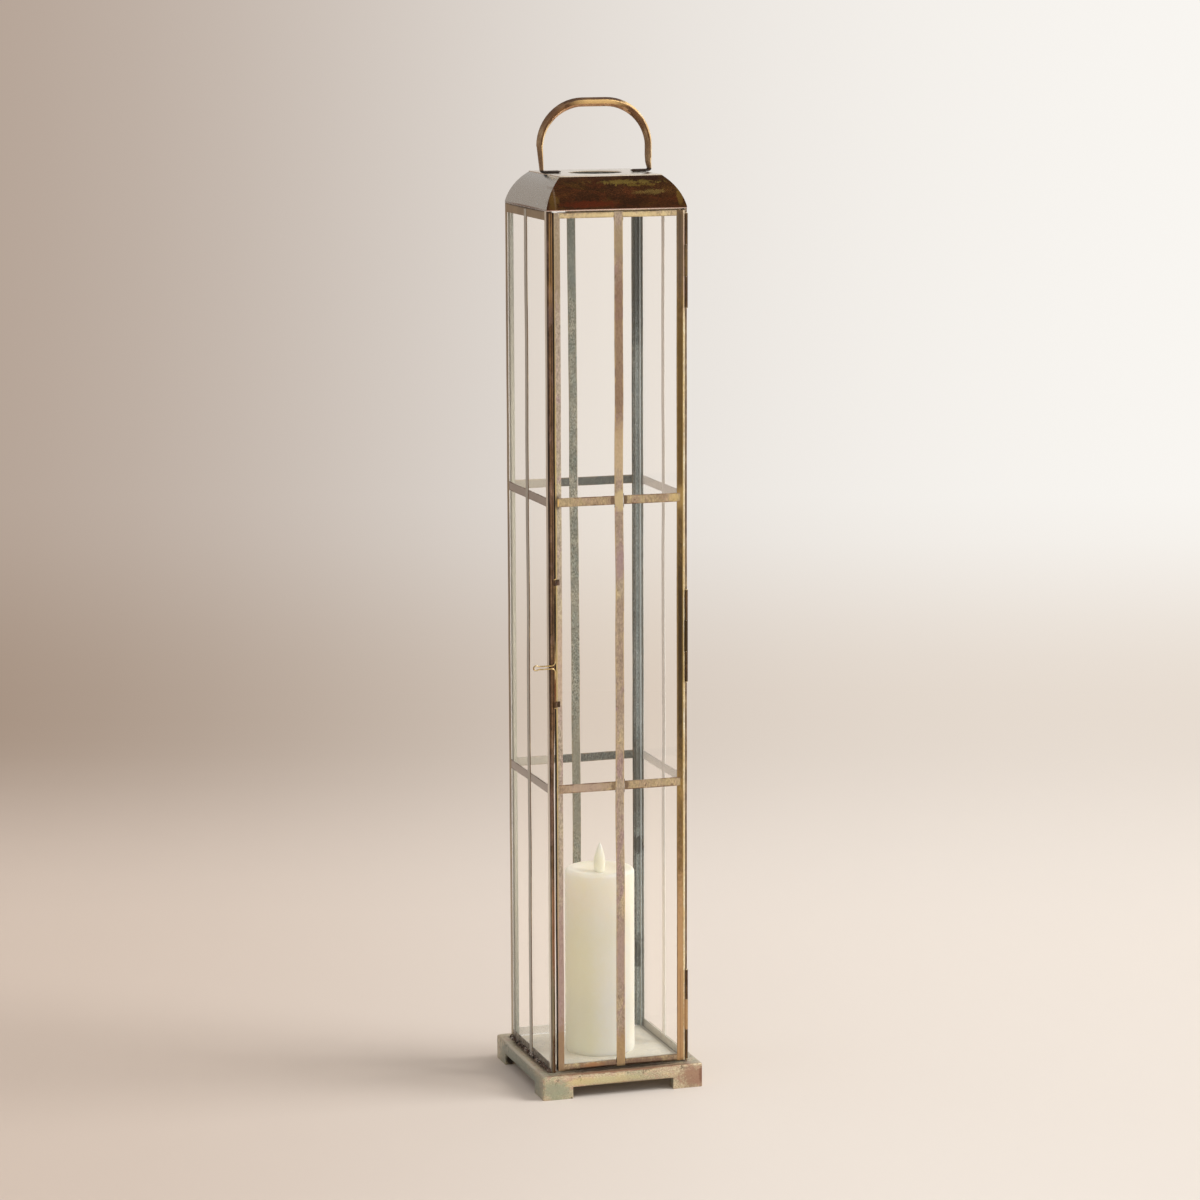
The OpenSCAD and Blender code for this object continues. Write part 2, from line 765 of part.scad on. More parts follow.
// Upper half of the latch wire: shank, bend and the arm that runs into the finger ring.
// The lower half mirrors it with its own shank length.
module half_latch_wire(shank_l) {
    bend_z = loop_neck + latch_bend_r;
    arm_end = -loop_reach + loop_ring_r;
    translate([0, 0, bend_z]) cylinder(r = wire_r, h = shank_l - bend_z);
    wire_bend([-latch_bend_r, bend_z], latch_bend_r, -90, 90);
    translate([arm_end, 0, loop_neck]) rotate([0, 90, 0]) cylinder(r = wire_r, h = -latch_bend_r - arm_end);
}

// The wire with its finger ring, and a collar at each eye that keeps it from sliding out
module latch_wire() {
    color("gold") translate([latch_x, latch_y, latch_z]) {
        half_latch_wire(latch_rise + collar_h / 2);
        mirror([0, 0, 1]) half_latch_wire(latch_drop + collar_h / 2);
        wire_bend([-loop_reach, 0], loop_ring_r, 0, 360, wire_r + ring_swell);
        translate([0, 0, latch_rise + collar_gap]) cylinder(r = eye_r, h = collar_h);
        translate([0, 0, -latch_drop - collar_gap - collar_h]) cylinder(r = eye_r, h = collar_h);
    }
}

// Moves a piece of the candle to the candle's place
module at_candle() {
    translate([candle_x, 0, candle_z]) children();
}

// Wax: a thick round shell with a dished top, open underneath
module candle_wax() {
    color("ivory") at_candle() rotate_extrude($fn = 160) difference() {
        union() {
            square([candle_r, candle_h - candle_rim_r]);
            square([candle_r - candle_rim_r, candle_h]);
            translate([candle_r - candle_rim_r, candle_h - candle_rim_r])
                intersection() { circle(candle_rim_r); square(candle_rim_r); }
        }
        intersection() {
            translate([0, dish_z + dish_curve_r]) circle(dish_curve_r, $fn = 180);
            translate([0, dish_z]) square([candle_r, dish_depth + over]);
        }
        translate([0, -over]) square([tray_flange_r + tray_gap, step_h + over]);
        translate([0, step_h - over]) square([tray_r + tray_gap, hollow_h - step_h + over]);
        translate([0, hollow_h - over]) square([stem_r + stem_gap, candle_h - hollow_h]);
    }
}

// Room for the switch at one level of the tray: half its length and half its width, plus the gap
module switch_slot(half_l, half_w, z0, z1) {
    block([-half_l - switch_gap, -switch_y - half_w - switch_gap, z0],
          [half_l + switch_gap, -switch_y + half_w + switch_gap, z1]);
}

// Battery tray: flange and body with the bay for both cells, the lid's recess and the switch's slot
module candle_tray() {
    color("whitesmoke") at_candle() difference() {
        union() {
            translate([0, 0, tray_lift]) cylinder(r = tray_flange_r, h = tray_flange_t);
            translate([0, 0, tray_lift]) cylinder(r = tray_r, h = tray_h);
        }
        block([-bay_half_l, cell_y - bay_half_w, lid_top - over],
              [bay_half_l, cell_y + bay_half_w, nub_top + contact_t]);
        block([-lid_l / 2 - lid_gap, cell_y - lid_w / 2 - lid_gap, tray_lift - over],
              [lid_l / 2 + lid_gap, cell_y + lid_w / 2 + lid_gap, lid_top]);
        switch_slot((knob_l + switch_travel) / 2, knob_w / 2, tray_lift - over, step_h + over);
        switch_slot((slide_l + switch_travel) / 2, slide_w / 2, step_h, slide_z + slide_t + switch_gap);
    }
}

module candle_battery_lid() {
    color("gainsboro") at_candle()
        block([-lid_l / 2, cell_y - lid_w / 2, tray_lift], [lid_l / 2, cell_y + lid_w / 2, lid_top]);
}

// Two cells side by side, one turned over
module candle_cells() {
    color("dimgray") at_candle() {
        translate([-cell_pitch / 2, cell_y, cell_z]) {
            cylinder(r = cell_d / 2, h = cell_l);
            cylinder(r = nub_r, h = cell_l + nub_h);
        }
        translate([cell_pitch / 2, cell_y, cell_z]) {
            cylinder(r = nub_r, h = nub_h + over);
            translate([0, 0, nub_h]) cylinder(r = cell_d / 2, h = cell_l);
        }
    }
}

// One strip that joins the cells below, and one round contact above each cell
module candle_contacts() {
    reach = cell_pitch / 2 + nub_r;
    color("silver") at_candle() {
        block([-reach, cell_y - contact_w / 2, lid_top], [reach, cell_y + contact_w / 2, cell_z]);
        for (side = [-1, 1]) translate([side * cell_pitch / 2, cell_y, nub_top])
            cylinder(r = contact_r, h = contact_t);
    }
}

module candle_leads() {
    color("firebrick") at_candle() for (side = [-1, 1]) translate([side * lead_x, 0, tray_top_z])
        cylinder(r = lead_r, h = led_z - tray_top_z);
}

// Lamp with a round top, held in the flame's stem
module candle_led() {
    color("lightyellow") at_candle() translate([0, 0, led_z]) {
        cylinder(r = led_r, h = led_l - led_r);
        translate([0, 0, led_l - led_r]) sphere(led_r);
    }
}

// Flame: a pointed drop on a hollow stem that stands in the wax. The drop's radius
// grows along a sine from its foot to its belly, then falls along a parabola to the tip.
module candle_flame() {
    belly_r = flame_w / 2;
    low = [for (i = [0:flame_steps]) let (t = i / flame_steps)
        [flame_foot_r + (belly_r - flame_foot_r) * sin(90 * t),
         flame_foot_z + (flame_belly_h - flame_foot_z) * t]];
    high = [for (i = [1:flame_steps]) let (t = i / flame_steps)
        [belly_r * (1 - t * t), flame_belly_h + (flame_h - flame_belly_h) * t]];
    stem = [[0, -stem_l], [stem_r, -stem_l], [stem_r, flame_foot_z]];
    color("lemonchiffon", 0.7) at_candle() translate([0, 0, dish_z]) difference() {
        rotate_extrude($fn = 96) polygon(concat(stem, low, high));
        translate([0, 0, -stem_l - over]) cylinder(r = led_r + led_gap, h = led_l + 3 * over);
    }
}

// Slide switch under the candle: a knob below a wider slide
module candle_switch() {
    color("black") at_candle() {
        block([slide_x - knob_l / 2, -switch_y - knob_w / 2, knob_z],
              [slide_x + knob_l / 2, -switch_y + knob_w / 2, slide_z + slide_t / 2]);
        block([slide_x - slide_l / 2, -switch_y - slide_w / 2, slide_z],
              [slide_x + slide_l / 2, -switch_y + slide_w / 2, slide_z + slide_t]);
    }
}

plinth_top();
plinth_skirt_front();
plinth_skirt_back();
plinth_skirt_left();
plinth_skirt_right();
floor_pan();
post_front_left();
post_front_right();
post_back_left();
post_back_right();
bottom_rail_left();
bottom_rail_right();
bottom_rail_back();
top_rail_left();
top_rail_right();
top_rail_back();
door_head_stop();
glass_left();
glass_right();
glass_back();
muntin_left();
muntin_right();
muntin_back();
crossbars_left();
crossbars_right();
crossbars_back();
glass_angles_back();
glass_angles_front();
roof_front();
roof_back();
roof_left();
roof_right();
crown_plate();
handle();
hinge_post_leaves();
hinge_pins();
door_stile_latch();
door_stile_hinge();
door_rail_top();
door_rail_bottom();
door_glass();
door_muntin();
door_crossbars();
door_glass_beads();
hinge_door_leaves();
latch_eyes();
latch_wire();
candle_wax();
candle_tray();
candle_battery_lid();
candle_cells();
candle_contacts();
candle_leads();
candle_led();
candle_flame();
candle_switch();
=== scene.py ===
"""Looks of a tall glazed floor lantern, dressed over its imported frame.

The frame gives every place and size. This script adds the rounded, hand-worked sheet metal,
the bent wire and bar, the wax and flame, the patina of old brass, and a pale studio.
Lengths are in millimetres, and MM turns them into the scene's metres.
"""

from __future__ import annotations

import logging
import math
from dataclasses import dataclass, field, replace
from enum import Enum
from functools import cache
from typing import Sequence

import bmesh
import bpy
import numpy as np
from mathutils import Matrix, Vector


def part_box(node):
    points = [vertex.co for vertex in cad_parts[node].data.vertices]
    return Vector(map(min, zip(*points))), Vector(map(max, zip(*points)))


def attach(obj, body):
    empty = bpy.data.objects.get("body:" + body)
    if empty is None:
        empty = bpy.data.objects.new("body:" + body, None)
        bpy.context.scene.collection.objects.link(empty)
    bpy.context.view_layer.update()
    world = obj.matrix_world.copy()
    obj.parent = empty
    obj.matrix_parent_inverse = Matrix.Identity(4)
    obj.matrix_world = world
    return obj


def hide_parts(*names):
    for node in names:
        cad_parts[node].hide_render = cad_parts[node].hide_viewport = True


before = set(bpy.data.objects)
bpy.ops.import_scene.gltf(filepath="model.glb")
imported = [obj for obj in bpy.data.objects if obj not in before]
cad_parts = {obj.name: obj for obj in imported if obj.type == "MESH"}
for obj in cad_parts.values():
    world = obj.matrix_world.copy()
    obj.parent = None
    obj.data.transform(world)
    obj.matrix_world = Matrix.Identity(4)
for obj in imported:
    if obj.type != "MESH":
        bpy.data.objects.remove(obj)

LOG = logging.getLogger("lantern")
MM = 0.001
TINY = 1e-9
LONGEST_STEP = 18.0
PIT_BLACK = (0.02, 0.018, 0.014, 1.0)
TONES = ("Base", "Shade", "Glow", "Blush", "Tarnish")
AMOUNTS = ("Shade Amount", "Glow Amount", "Blush Amount", "Tarnish Amount", "Mottle Amount", "Pit Amount")

Array = np.ndarray
Colour = tuple[float, float, float]
Point = tuple[float, float, float]
Pairs = tuple[tuple[float, float], ...]
Socket = bpy.types.NodeSocket
Material = bpy.types.Material
Object = bpy.types.Object


class Side(Enum):
    """The four sides of the lantern, each with its quarter turns from the front."""

    FRONT = 0
    RIGHT = 1
    BACK = 2
    LEFT = 3


class Axis(Enum):
    """The axis that a straight piece runs along."""

    X = 0
    Y = 1
    Z = 2


class Body(Enum):
    """The bodies that pieces ride on."""

    LANTERN = "lantern"
    DOOR = "door"
    LATCH = "latch"
    CANDLE = "candle"


class Slot(Enum):
    """The record's material slots, each with the body that its pieces ride on."""

    PLINTH = "plinth_metal", Body.LANTERN
    FRAME = "frame_metal", Body.LANTERN
    DOOR = "door_metal", Body.DOOR
    ROOF = "roof_metal", Body.LANTERN
    CROWN = "crown_metal", Body.LANTERN
    HANDLE = "handle_metal", Body.LANTERN
    LATCH = "latch_metal", Body.LATCH
    WAX = "wax", Body.CANDLE
    FLAME = "flame_plastic", Body.CANDLE


# Frame

def span(node: str) -> tuple[Array, Array]:
    """Give a frame node's lowest and highest corners in millimetres."""
    low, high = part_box(node)
    return np.array(low) / MM, np.array(high) / MM


def linear(colour: Colour) -> tuple[float, float, float, float]:
    """Turn a display colour into the linear colour that a shader socket takes.

    Args:
        colour: Red, green and blue as seen on a display, from 0 to 1.

    Returns:
        The linear colour with an alpha of 1.
    """
    seen = np.array(colour)
    value = np.where(seen <= 0.04045, seen / 12.92, ((seen + 0.055) / 1.055) ** 2.4)
    return (*[float(v) for v in value], 1.0)


# Forms

@dataclass
class Form:
    """A mesh before it becomes an object: vertices, faces and how near each vertex is to an edge."""

    vertices: Array
    faces: list[list[int]]
    rim: Array

    @staticmethod
    def join(forms: Sequence["Form"]) -> "Form":
        """Put several forms into one.

        Args:
            forms: The forms to join.

        Returns:
            One form with all vertices and faces.
        """
        starts = np.cumsum([0] + [len(f.vertices) for f in forms[:-1]])
        faces = [[int(i) + int(s) for i in face] for f, s in zip(forms, starts) for face in f.faces]
        return Form(np.vstack([f.vertices for f in forms]), faces, np.concatenate([f.rim for f in forms]))


def unit(vectors: Array) -> Array:
    """Scale vectors to length one."""
    return vectors / np.linalg.norm(vectors, axis=-1, keepdims=True)


def fillet(points: Array, radii: Array | float, steps: int, closed: bool) -> Array:
    """Round the corners of a flat polyline.

    Each corner becomes a circular arc. Its centre lies on the bisector, at the radius over the
    sine of half the corner's angle, and it touches both edges at the radius over the tangent of that half.

    Args:
        points: The corners, one row each.
        radii: One radius, or one for each corner.
        steps: Pieces in each arc.
        closed: Whether the last point joins the first.

    Returns:
        The rounded polyline's points.
    """
    corners = np.asarray(points, float)
    radius = np.array(np.broadcast_to(np.asarray(radii, float), len(corners)))
    before, after = np.roll(corners, 1, 0), np.roll(corners, -1, 0)
    if not closed:
        before, after, radius = before[1:-1], after[1:-1], radius[1:-1]
        ends = corners[:1], corners[-1:]
        corners = corners[1:-1]
    back, ahead = unit(before - corners), unit(after - corners)
    half = 0.5 * np.arccos(np.clip((back * ahead).sum(1), -1, 1))
    reach = (radius / np.tan(half))[:, None]
    centre = corners + unit(back + ahead) * (radius / np.sin(half))[:, None]
    first, last = corners + back * reach - centre, corners + ahead * reach - centre
    start = np.arctan2(first[:, 1], first[:, 0])
    turn = np.arctan2(last[:, 1], last[:, 0]) - start
    turn = (turn + math.pi) % (2 * math.pi) - math.pi
    angle = start[:, None] + turn[:, None] * np.linspace(0, 1, steps + 1)
    arcs = centre[:, None] + radius[:, None, None] * np.stack([np.cos(angle), np.sin(angle)], -1)
    arcs = arcs.reshape(-1, 2)
    return arcs if closed else np.vstack([ends[0], arcs, ends[1]])


def with_flats(outline: Array, inset: float = 1.1) -> tuple[Array, Array]:
    """Add a point near each end of an outline's long edges, so that the coloured edges stay narrow.

    Args:
        outline: A closed outline.
        inset: Distance of the new points from the edge's ends. An edge is long from two and a half of them on.

    Returns:
        The new outline, and for each point 1 at an edge of the metal or 0 on a flat.
    """
    step = np.roll(outline, -1, 0) - outline
    length = np.linalg.norm(step, axis=1)
    long = length > 2.5 * inset
    way = step / np.maximum(length, TINY)[:, None]
    rows = np.stack([outline, outline + way * inset, outline + step - way * inset], 1)
    rim = np.tile([1.0, 0.0, 0.0], (len(outline), 1))
    keep = np.stack([np.ones(len(outline), bool), long, long], 1).ravel()
    return rows.reshape(-1, 2)[keep], rim.ravel()[keep]


def carry(outline: Array, path: Array, side: Array, up: Array) -> Array:
    """Carry an outline along a path.

    A vertex is the path's point, plus the outline's first coordinate along side, plus its second along up.

    Args:
        outline: One outline, or one for each point of the path.
        path: The path's points.
        side: Direction of the outline's first coordinate, one or one for each point.
        up: Direction of the outline's second coordinate, one or one for each point.

    Returns:
        An array of rows along the path, columns round the outline, and coordinates.
    """
    shape = np.broadcast_to(outline, (len(path), *outline.shape[-2:]))
    sides, ups = np.broadcast_to(side, path.shape), np.broadcast_to(up, path.shape)
    return path[:, None] + shape[..., :1] * sides[:, None] + shape[..., 1:] * ups[:, None]


def tube(grid: Array, rim: Array | None = None, caps: bool = True, ring: bool = False) -> Form:
    """Make a form of rows of closed loops.

    Args:
        grid: Rows, columns and coordinates.
        rim: How near each column is to an edge.
        caps: Whether the first and last rows are closed with a face.
        ring: Whether the last row joins the first.

    Returns:
        The form.
    """
    rows, cols = grid.shape[:2]
    here = np.arange(cols)
    there = (here + 1) % cols
    row = np.arange(rows if ring else rows - 1)[:, None]
    low, high = row * cols, ((row + 1) % rows) * cols
    faces = np.stack([low + here, low + there, high + there, high + here], -1).reshape(-1, 4).tolist()
    if caps and not ring:
        faces += [here[::-1].tolist(), (here + (rows - 1) * cols).tolist()]
    values = np.zeros(cols) if rim is None else rim
    return Form(grid.reshape(-1, 3), faces, np.tile(values, rows))


def sheet_grid(grid: Array, keep: Array | None = None) -> Form:
    """Make an open form of a grid, leaving some cells out.

    Args:
        grid: Rows, columns and coordinates.
        keep: Which cells stay, one fewer than the grid each way.

    Returns:
        The form.
    """
    rows, cols = grid.shape[:2]
    cell = (np.arange(rows - 1)[:, None] * cols + np.arange(cols - 1)).ravel()
    cell = cell if keep is None else cell[keep.ravel()]
    faces = np.stack([cell, cell + 1, cell + cols + 1, cell + cols], -1).tolist()
    return Form(grid.reshape(-1, 3), faces, np.zeros(rows * cols))


def circle(points: int) -> Array:
    """Give points round a circle of radius 1, the cosine and sine of even angles."""
    angle = np.linspace(0, 2 * math.pi, points, endpoint=False)
    return np.stack([np.cos(angle), np.sin(angle)], -1)


def arc(centre: tuple[float, float], radius: float, first: float, last: float, points: int) -> Array:
    """Give even points of an arc: the centre, plus the radius times the cosine and sine of the angle."""
    angle = np.linspace(first, last, points)
    return centre + radius * np.stack([np.cos(angle), np.sin(angle)], -1)


def raised(plan: Array, height: Array) -> Array:
    """Lift rows of flat points to their heights, or one row to each height."""
    rows = np.broadcast_to(plan, (len(height), *plan.shape[-2:]))
    return np.concatenate([rows, np.broadcast_to(height[:, None, None], (*rows.shape[:2], 1))], -1)


def revolve(profile: Array, segments: int) -> Array:
    """Turn a profile round z: x is its radius times the cosine of the angle, y times the sine, z its height."""
    return raised(profile[:, :1, None] * circle(segments), profile[:, 1])


def ease(value: Array, low: float, high: float) -> Array:
    """Step smoothly from 0 at low to 1 at high: three squares of the share less two of its cubes."""
    share = np.clip((value - low) / (high - low), 0, 1)
    return share**2 * (3 - 2 * share)


def taper(places: Array, table: Pairs) -> Array:
    """Read a table of places and sizes, straight between its rows and level past its ends."""
    return np.interp(places, *np.array(table, float).T)


def lengths(line: Array) -> Array:
    """Give the length along a line at each of its points."""
    return np.concatenate([[0], np.cumsum(np.linalg.norm(np.diff(line, axis=0), axis=1))])


def sampled(line: Array, places: Array) -> Array:
    """Give the points of a line at some lengths along it."""
    along = lengths(line)
    return np.stack([np.interp(places, along, column) for column in line.T], -1)


def refined(line: Array, count: int, near_ends: Sequence[float] = ()) -> tuple[Array, Array]:
    """Drop a line's doubled points and add others, evenly along it and near its ends.

    Args:
        line: The line's points.
        count: How many even places are added.
        near_ends: Distances from each end at which a point is added.

    Returns:
        The points, and the length along the line at each.
    """
    step = np.linalg.norm(np.diff(line, axis=0), axis=1)
    line = line[np.concatenate([[True], step > 1e-4])]
    along, ends = lengths(line), np.array(near_ends, float)
    places = np.unique(np.concatenate([along, np.linspace(0, along[-1], count), ends, along[-1] - ends]))
    return sampled(line, places), places


def bent_rod(line: Array, places: Array, depth: float, outline: Array) -> Form:
    """Carry outlines along a line that lies in an upright plane across the lantern.

    An outline's first coordinate runs along the line's normal in that plane, and its second along y.

    Args:
        line: The line's points as x and z.
        places: The length along the line at each.
        depth: The plane's y.
        outline: An outline for each point.

    Returns:
        The closed form.
    """
    way = unit(np.gradient(line, places, axis=0))
    normal = np.insert(way[:, ::-1] * [-1, 1], 1, 0, axis=1)
    return tube(carry(outline, np.insert(line, 1, depth, axis=1), normal, np.array([0, 1.0, 0])))


def turned(points: Array, side: Side) -> Array:
    """Turn points from the front to another side, by its quarter turns about the lantern's upright axis."""
    cos, sin = round(math.cos(side.value * math.pi / 2)), round(math.sin(side.value * math.pi / 2))
    return points @ np.array([[cos, sin, 0], [-sin, cos, 0], [0, 0, 1]], float)


@dataclass(frozen=True)
class Handwork:
    """The slight waviness of sheet that was cut and bent by hand."""

    amount: float = 0.1
    wave: float = 140.0
    seed: int = 1

    def drift(self, along: Array) -> Array:
        """Give offsets across a strip: three sines of falling size, fading to none at both ends.

        Args:
            along: Places along the strip.

        Returns:
            Two offsets for each place.
        """
        phase = np.random.default_rng(self.seed).uniform(0, 2 * math.pi, (2, 3))
        rate = 2 * math.pi / (self.wave * np.array([1.0, 0.53, 0.31]))
        size = self.amount * np.array([1.0, 0.5, 0.25])
        share = (along - along[0]) / (along[-1] - along[0])
        fade = np.sin(math.pi * share) ** 0.5
        return (np.sin(along[:, None, None] * rate + phase) * size).sum(-1) * fade[:, None]


def straight(outline: Array, axis: Axis, start: float, stop: float, hand: Handwork) -> Form:
    """Carry a closed outline along one axis, with the drift of handwork across it.

    Args:
        outline: The outline in the two other axes, in their order.
        axis: The axis to run along.
        start: Where it begins.
        stop: Where it ends.
        hand: Its waviness.

    Returns:
        The closed form.
    """
    shape, rim = with_flats(outline)
    along = np.linspace(start, stop, max(2, math.ceil(abs(stop - start) / LONGEST_STEP) + 1))
    across = [i for i in range(3) if i != axis.value]
    path = np.zeros((len(along), 3))
    path[:, axis.value] = along
    path[:, across] += hand.drift(along)
    directions = np.eye(3)[across]
    return tube(carry(shape, path, directions[0], directions[1]), rim)


def bar_outline(low: Array, high: Array, edge: float = 0.35) -> Array:
    """Outline a flat bar: a rectangle between two corners, rounded by a small radius."""
    corners = np.array([[low[0], low[1]], [high[0], low[1]], [high[0], high[1]], [low[0], high[1]]])
    return fillet(corners, edge, 2, True)


def angle_outline(low: Array, high: Array, corner: tuple[int, int], sheet: float) -> Array:
    """Outline an angle: two legs along the sides of a rectangle that meet at one corner.

    Args:
        low: The rectangle's lowest corner.
        high: The rectangle's highest corner.
        corner: Which corner it is, with -1 for low and 1 for high in each axis.
        sheet: Thickness of the legs.

    Returns:
        The outline with round edges, a rounder one at the bend and a tighter one inside it.
    """
    away = -np.array(corner, float)
    heel = np.where(away > 0, low, high)
    wide, deep = high - low
    legs = np.array([[0, 0], [wide, 0], [wide, sheet], [sheet, sheet], [sheet, deep], [0, deep]])
    bend, edge, crook = 0.6, 0.35, 0.15
    return fillet(heel + legs * away, [bend, edge, edge, crook, edge, edge], 2, True)


# Shader node groups

class Kit:
    """Adds nodes and links to one node tree."""

    def __init__(self, tree: bpy.types.NodeTree) -> None:
        """Start on a tree."""
        self.tree = tree

    def add(self, kind: str, **settings: object) -> bpy.types.Node:
        """Add a node and set its properties.

        Args:
            kind: The node's type.
            **settings: Its properties.

        Returns:
            The node.
        """
        node = self.tree.nodes.new(kind)
        for name, value in settings.items():
            setattr(node, name, value)
        return node

    def feed(self, socket: Socket, source: object) -> None:
        """Link a socket to a source, or set its value.

        Args:
            socket: The input socket.
            source: An output socket or a value.
        """
        if isinstance(source, bpy.types.NodeSocket):
            self.tree.links.new(source, socket)
        else:
            socket.default_value = source

    def fill(self, node: bpy.types.Node, **inputs: object) -> None:
        """Feed a node's inputs by name, an underscore in a name standing for a space."""
        for name, source in inputs.items():
            self.feed(node.inputs[name.replace("_", " ")], source)

    def maths(self, operation: str, *sources: object, clamp: bool = False) -> Socket:
        """Add a Math node.

        Args:
            operation: What it does.
            *sources: Sockets or numbers.
            clamp: Whether the result stays from 0 to 1.

        Returns:
            Its result.
        """
        node = self.add("ShaderNodeMath", operation=operation, use_clamp=clamp)
        for socket, source in zip(node.inputs, sources):
            self.feed(socket, source)
        return node.outputs[0]

    def times(self, first: object, second: object) -> Socket:
        """Multiply two values."""
        return self.maths("MULTIPLY", first, second)

    def mix(self, factor: object, first: object, second: object, blend: str = "MIX") -> Socket:
        """Mix two colours.

        Args:
            factor: How much of the second.
            first: The first colour.
            second: The second colour.
            blend: How they mix.

        Returns:
            The mixed colour.
        """
        node = self.add("ShaderNodeMix", data_type="RGBA", blend_type=blend)
        for index, source in ((0, factor), (6, first), (7, second)):
            self.feed(node.inputs[index], source)
        return node.outputs[2]

    def noise(self, vector: Socket, scale: object, detail: float, rough: float, warp: float = 0.0) -> Socket:
        """Add a noise texture.

        Args:
            vector: Where it is read.
            scale: Features to a metre.
            detail: Octaves.
            rough: Strength of the finer octaves.
            warp: Distortion.

        Returns:
            Its value.
        """
        node = self.add("ShaderNodeTexNoise")
        self.fill(node, Vector=vector, Scale=scale, Detail=detail, Roughness=rough, Distortion=warp)
        return node.outputs[0]

    def vector(self, operation: str, first: object, second: object, output: str = "Vector") -> Socket:
        """Add a Vector Math node.

        Args:
            operation: What it does.
            first: The first vector.
            second: The second vector.
            output: Which output is wanted.

        Returns:
            That output.
        """
        node = self.add("ShaderNodeVectorMath", operation=operation)
        self.feed(node.inputs[0], first)
        self.feed(node.inputs[1], second)
        return node.outputs[output]

    def shift(self, vector: Socket, move: Point) -> Socket:
        """Move the place where a pattern is read."""
        return self.vector("ADD", vector, move)

    def rise(self, value: object, low: object, high: object) -> Socket:
        """Step smoothly from 0 to 1.

        Args:
            value: What is read.
            low: Where the step begins.
            high: Where it ends.

        Returns:
            The step.
        """
        node = self.add("ShaderNodeMapRange", interpolation_type="SMOOTHSTEP")
        for index, source in enumerate((value, low, high)):
            self.feed(node.inputs[index], source)
        return node.outputs[0]

    def place(self, group: bpy.types.NodeTree, **inputs: object) -> bpy.types.Node:
        """Place a node group.

        Args:
            group: The group.
            **inputs: What its inputs are fed, by name.

        Returns:
            Its node.
        """
        node = self.add("ShaderNodeGroup", node_tree=group)
        self.fill(node, **inputs)
        return node

    def bump(self, height: Socket, strength: float, depth: float) -> Socket:
        """Turn a height into a normal.

        Args:
            height: The height that is read.
            strength: How much it tells.
            depth: Its depth in millimetres.

        Returns:
            The normal.
        """
        node = self.add("ShaderNodeBump")
        self.fill(node, Strength=strength, Distance=depth * MM, Height=height)
        return node.outputs["Normal"]

    def blend(self, share: object, first: Socket, second: Socket) -> Socket:
        """Mix two shaders.

        Args:
            share: How much of the second.
            first: The first shader.
            second: The second shader.

        Returns:
            The mixed shader.
        """
        node = self.add("ShaderNodeMixShader")
        for socket, source in zip(node.inputs, (share, first, second)):
            self.feed(socket, source)
        return node.outputs[0]

    def show(self, shader: Socket) -> None:
        """Link a shader to the material's output."""
        output = next(node for node in self.tree.nodes if node.type == "OUTPUT_MATERIAL")
        self.feed(output.inputs["Surface"], shader)


def new_group(name: str, inputs: dict[str, str],
              outputs: dict[str, str]) -> tuple[Kit, dict[str, Socket], bpy.types.Node]:
    """Start a node group.

    Args:
        name: Its name.
        inputs: Socket types by name.
        outputs: Socket types by name.

    Returns:
        A kit on its tree, its input sockets by name, and its output node.
    """
    tree = bpy.data.node_groups.new(name, "ShaderNodeTree")
    for way, sockets in (("INPUT", inputs), ("OUTPUT", outputs)):
        for label, kind in sockets.items():
            tree.interface.new_socket(name=label, in_out=way, socket_type="NodeSocket" + kind)
    kit = Kit(tree)
    start = kit.add("NodeGroupInput")
    return kit, {s.name: s for s in start.outputs if s.name}, kit.add("NodeGroupOutput")


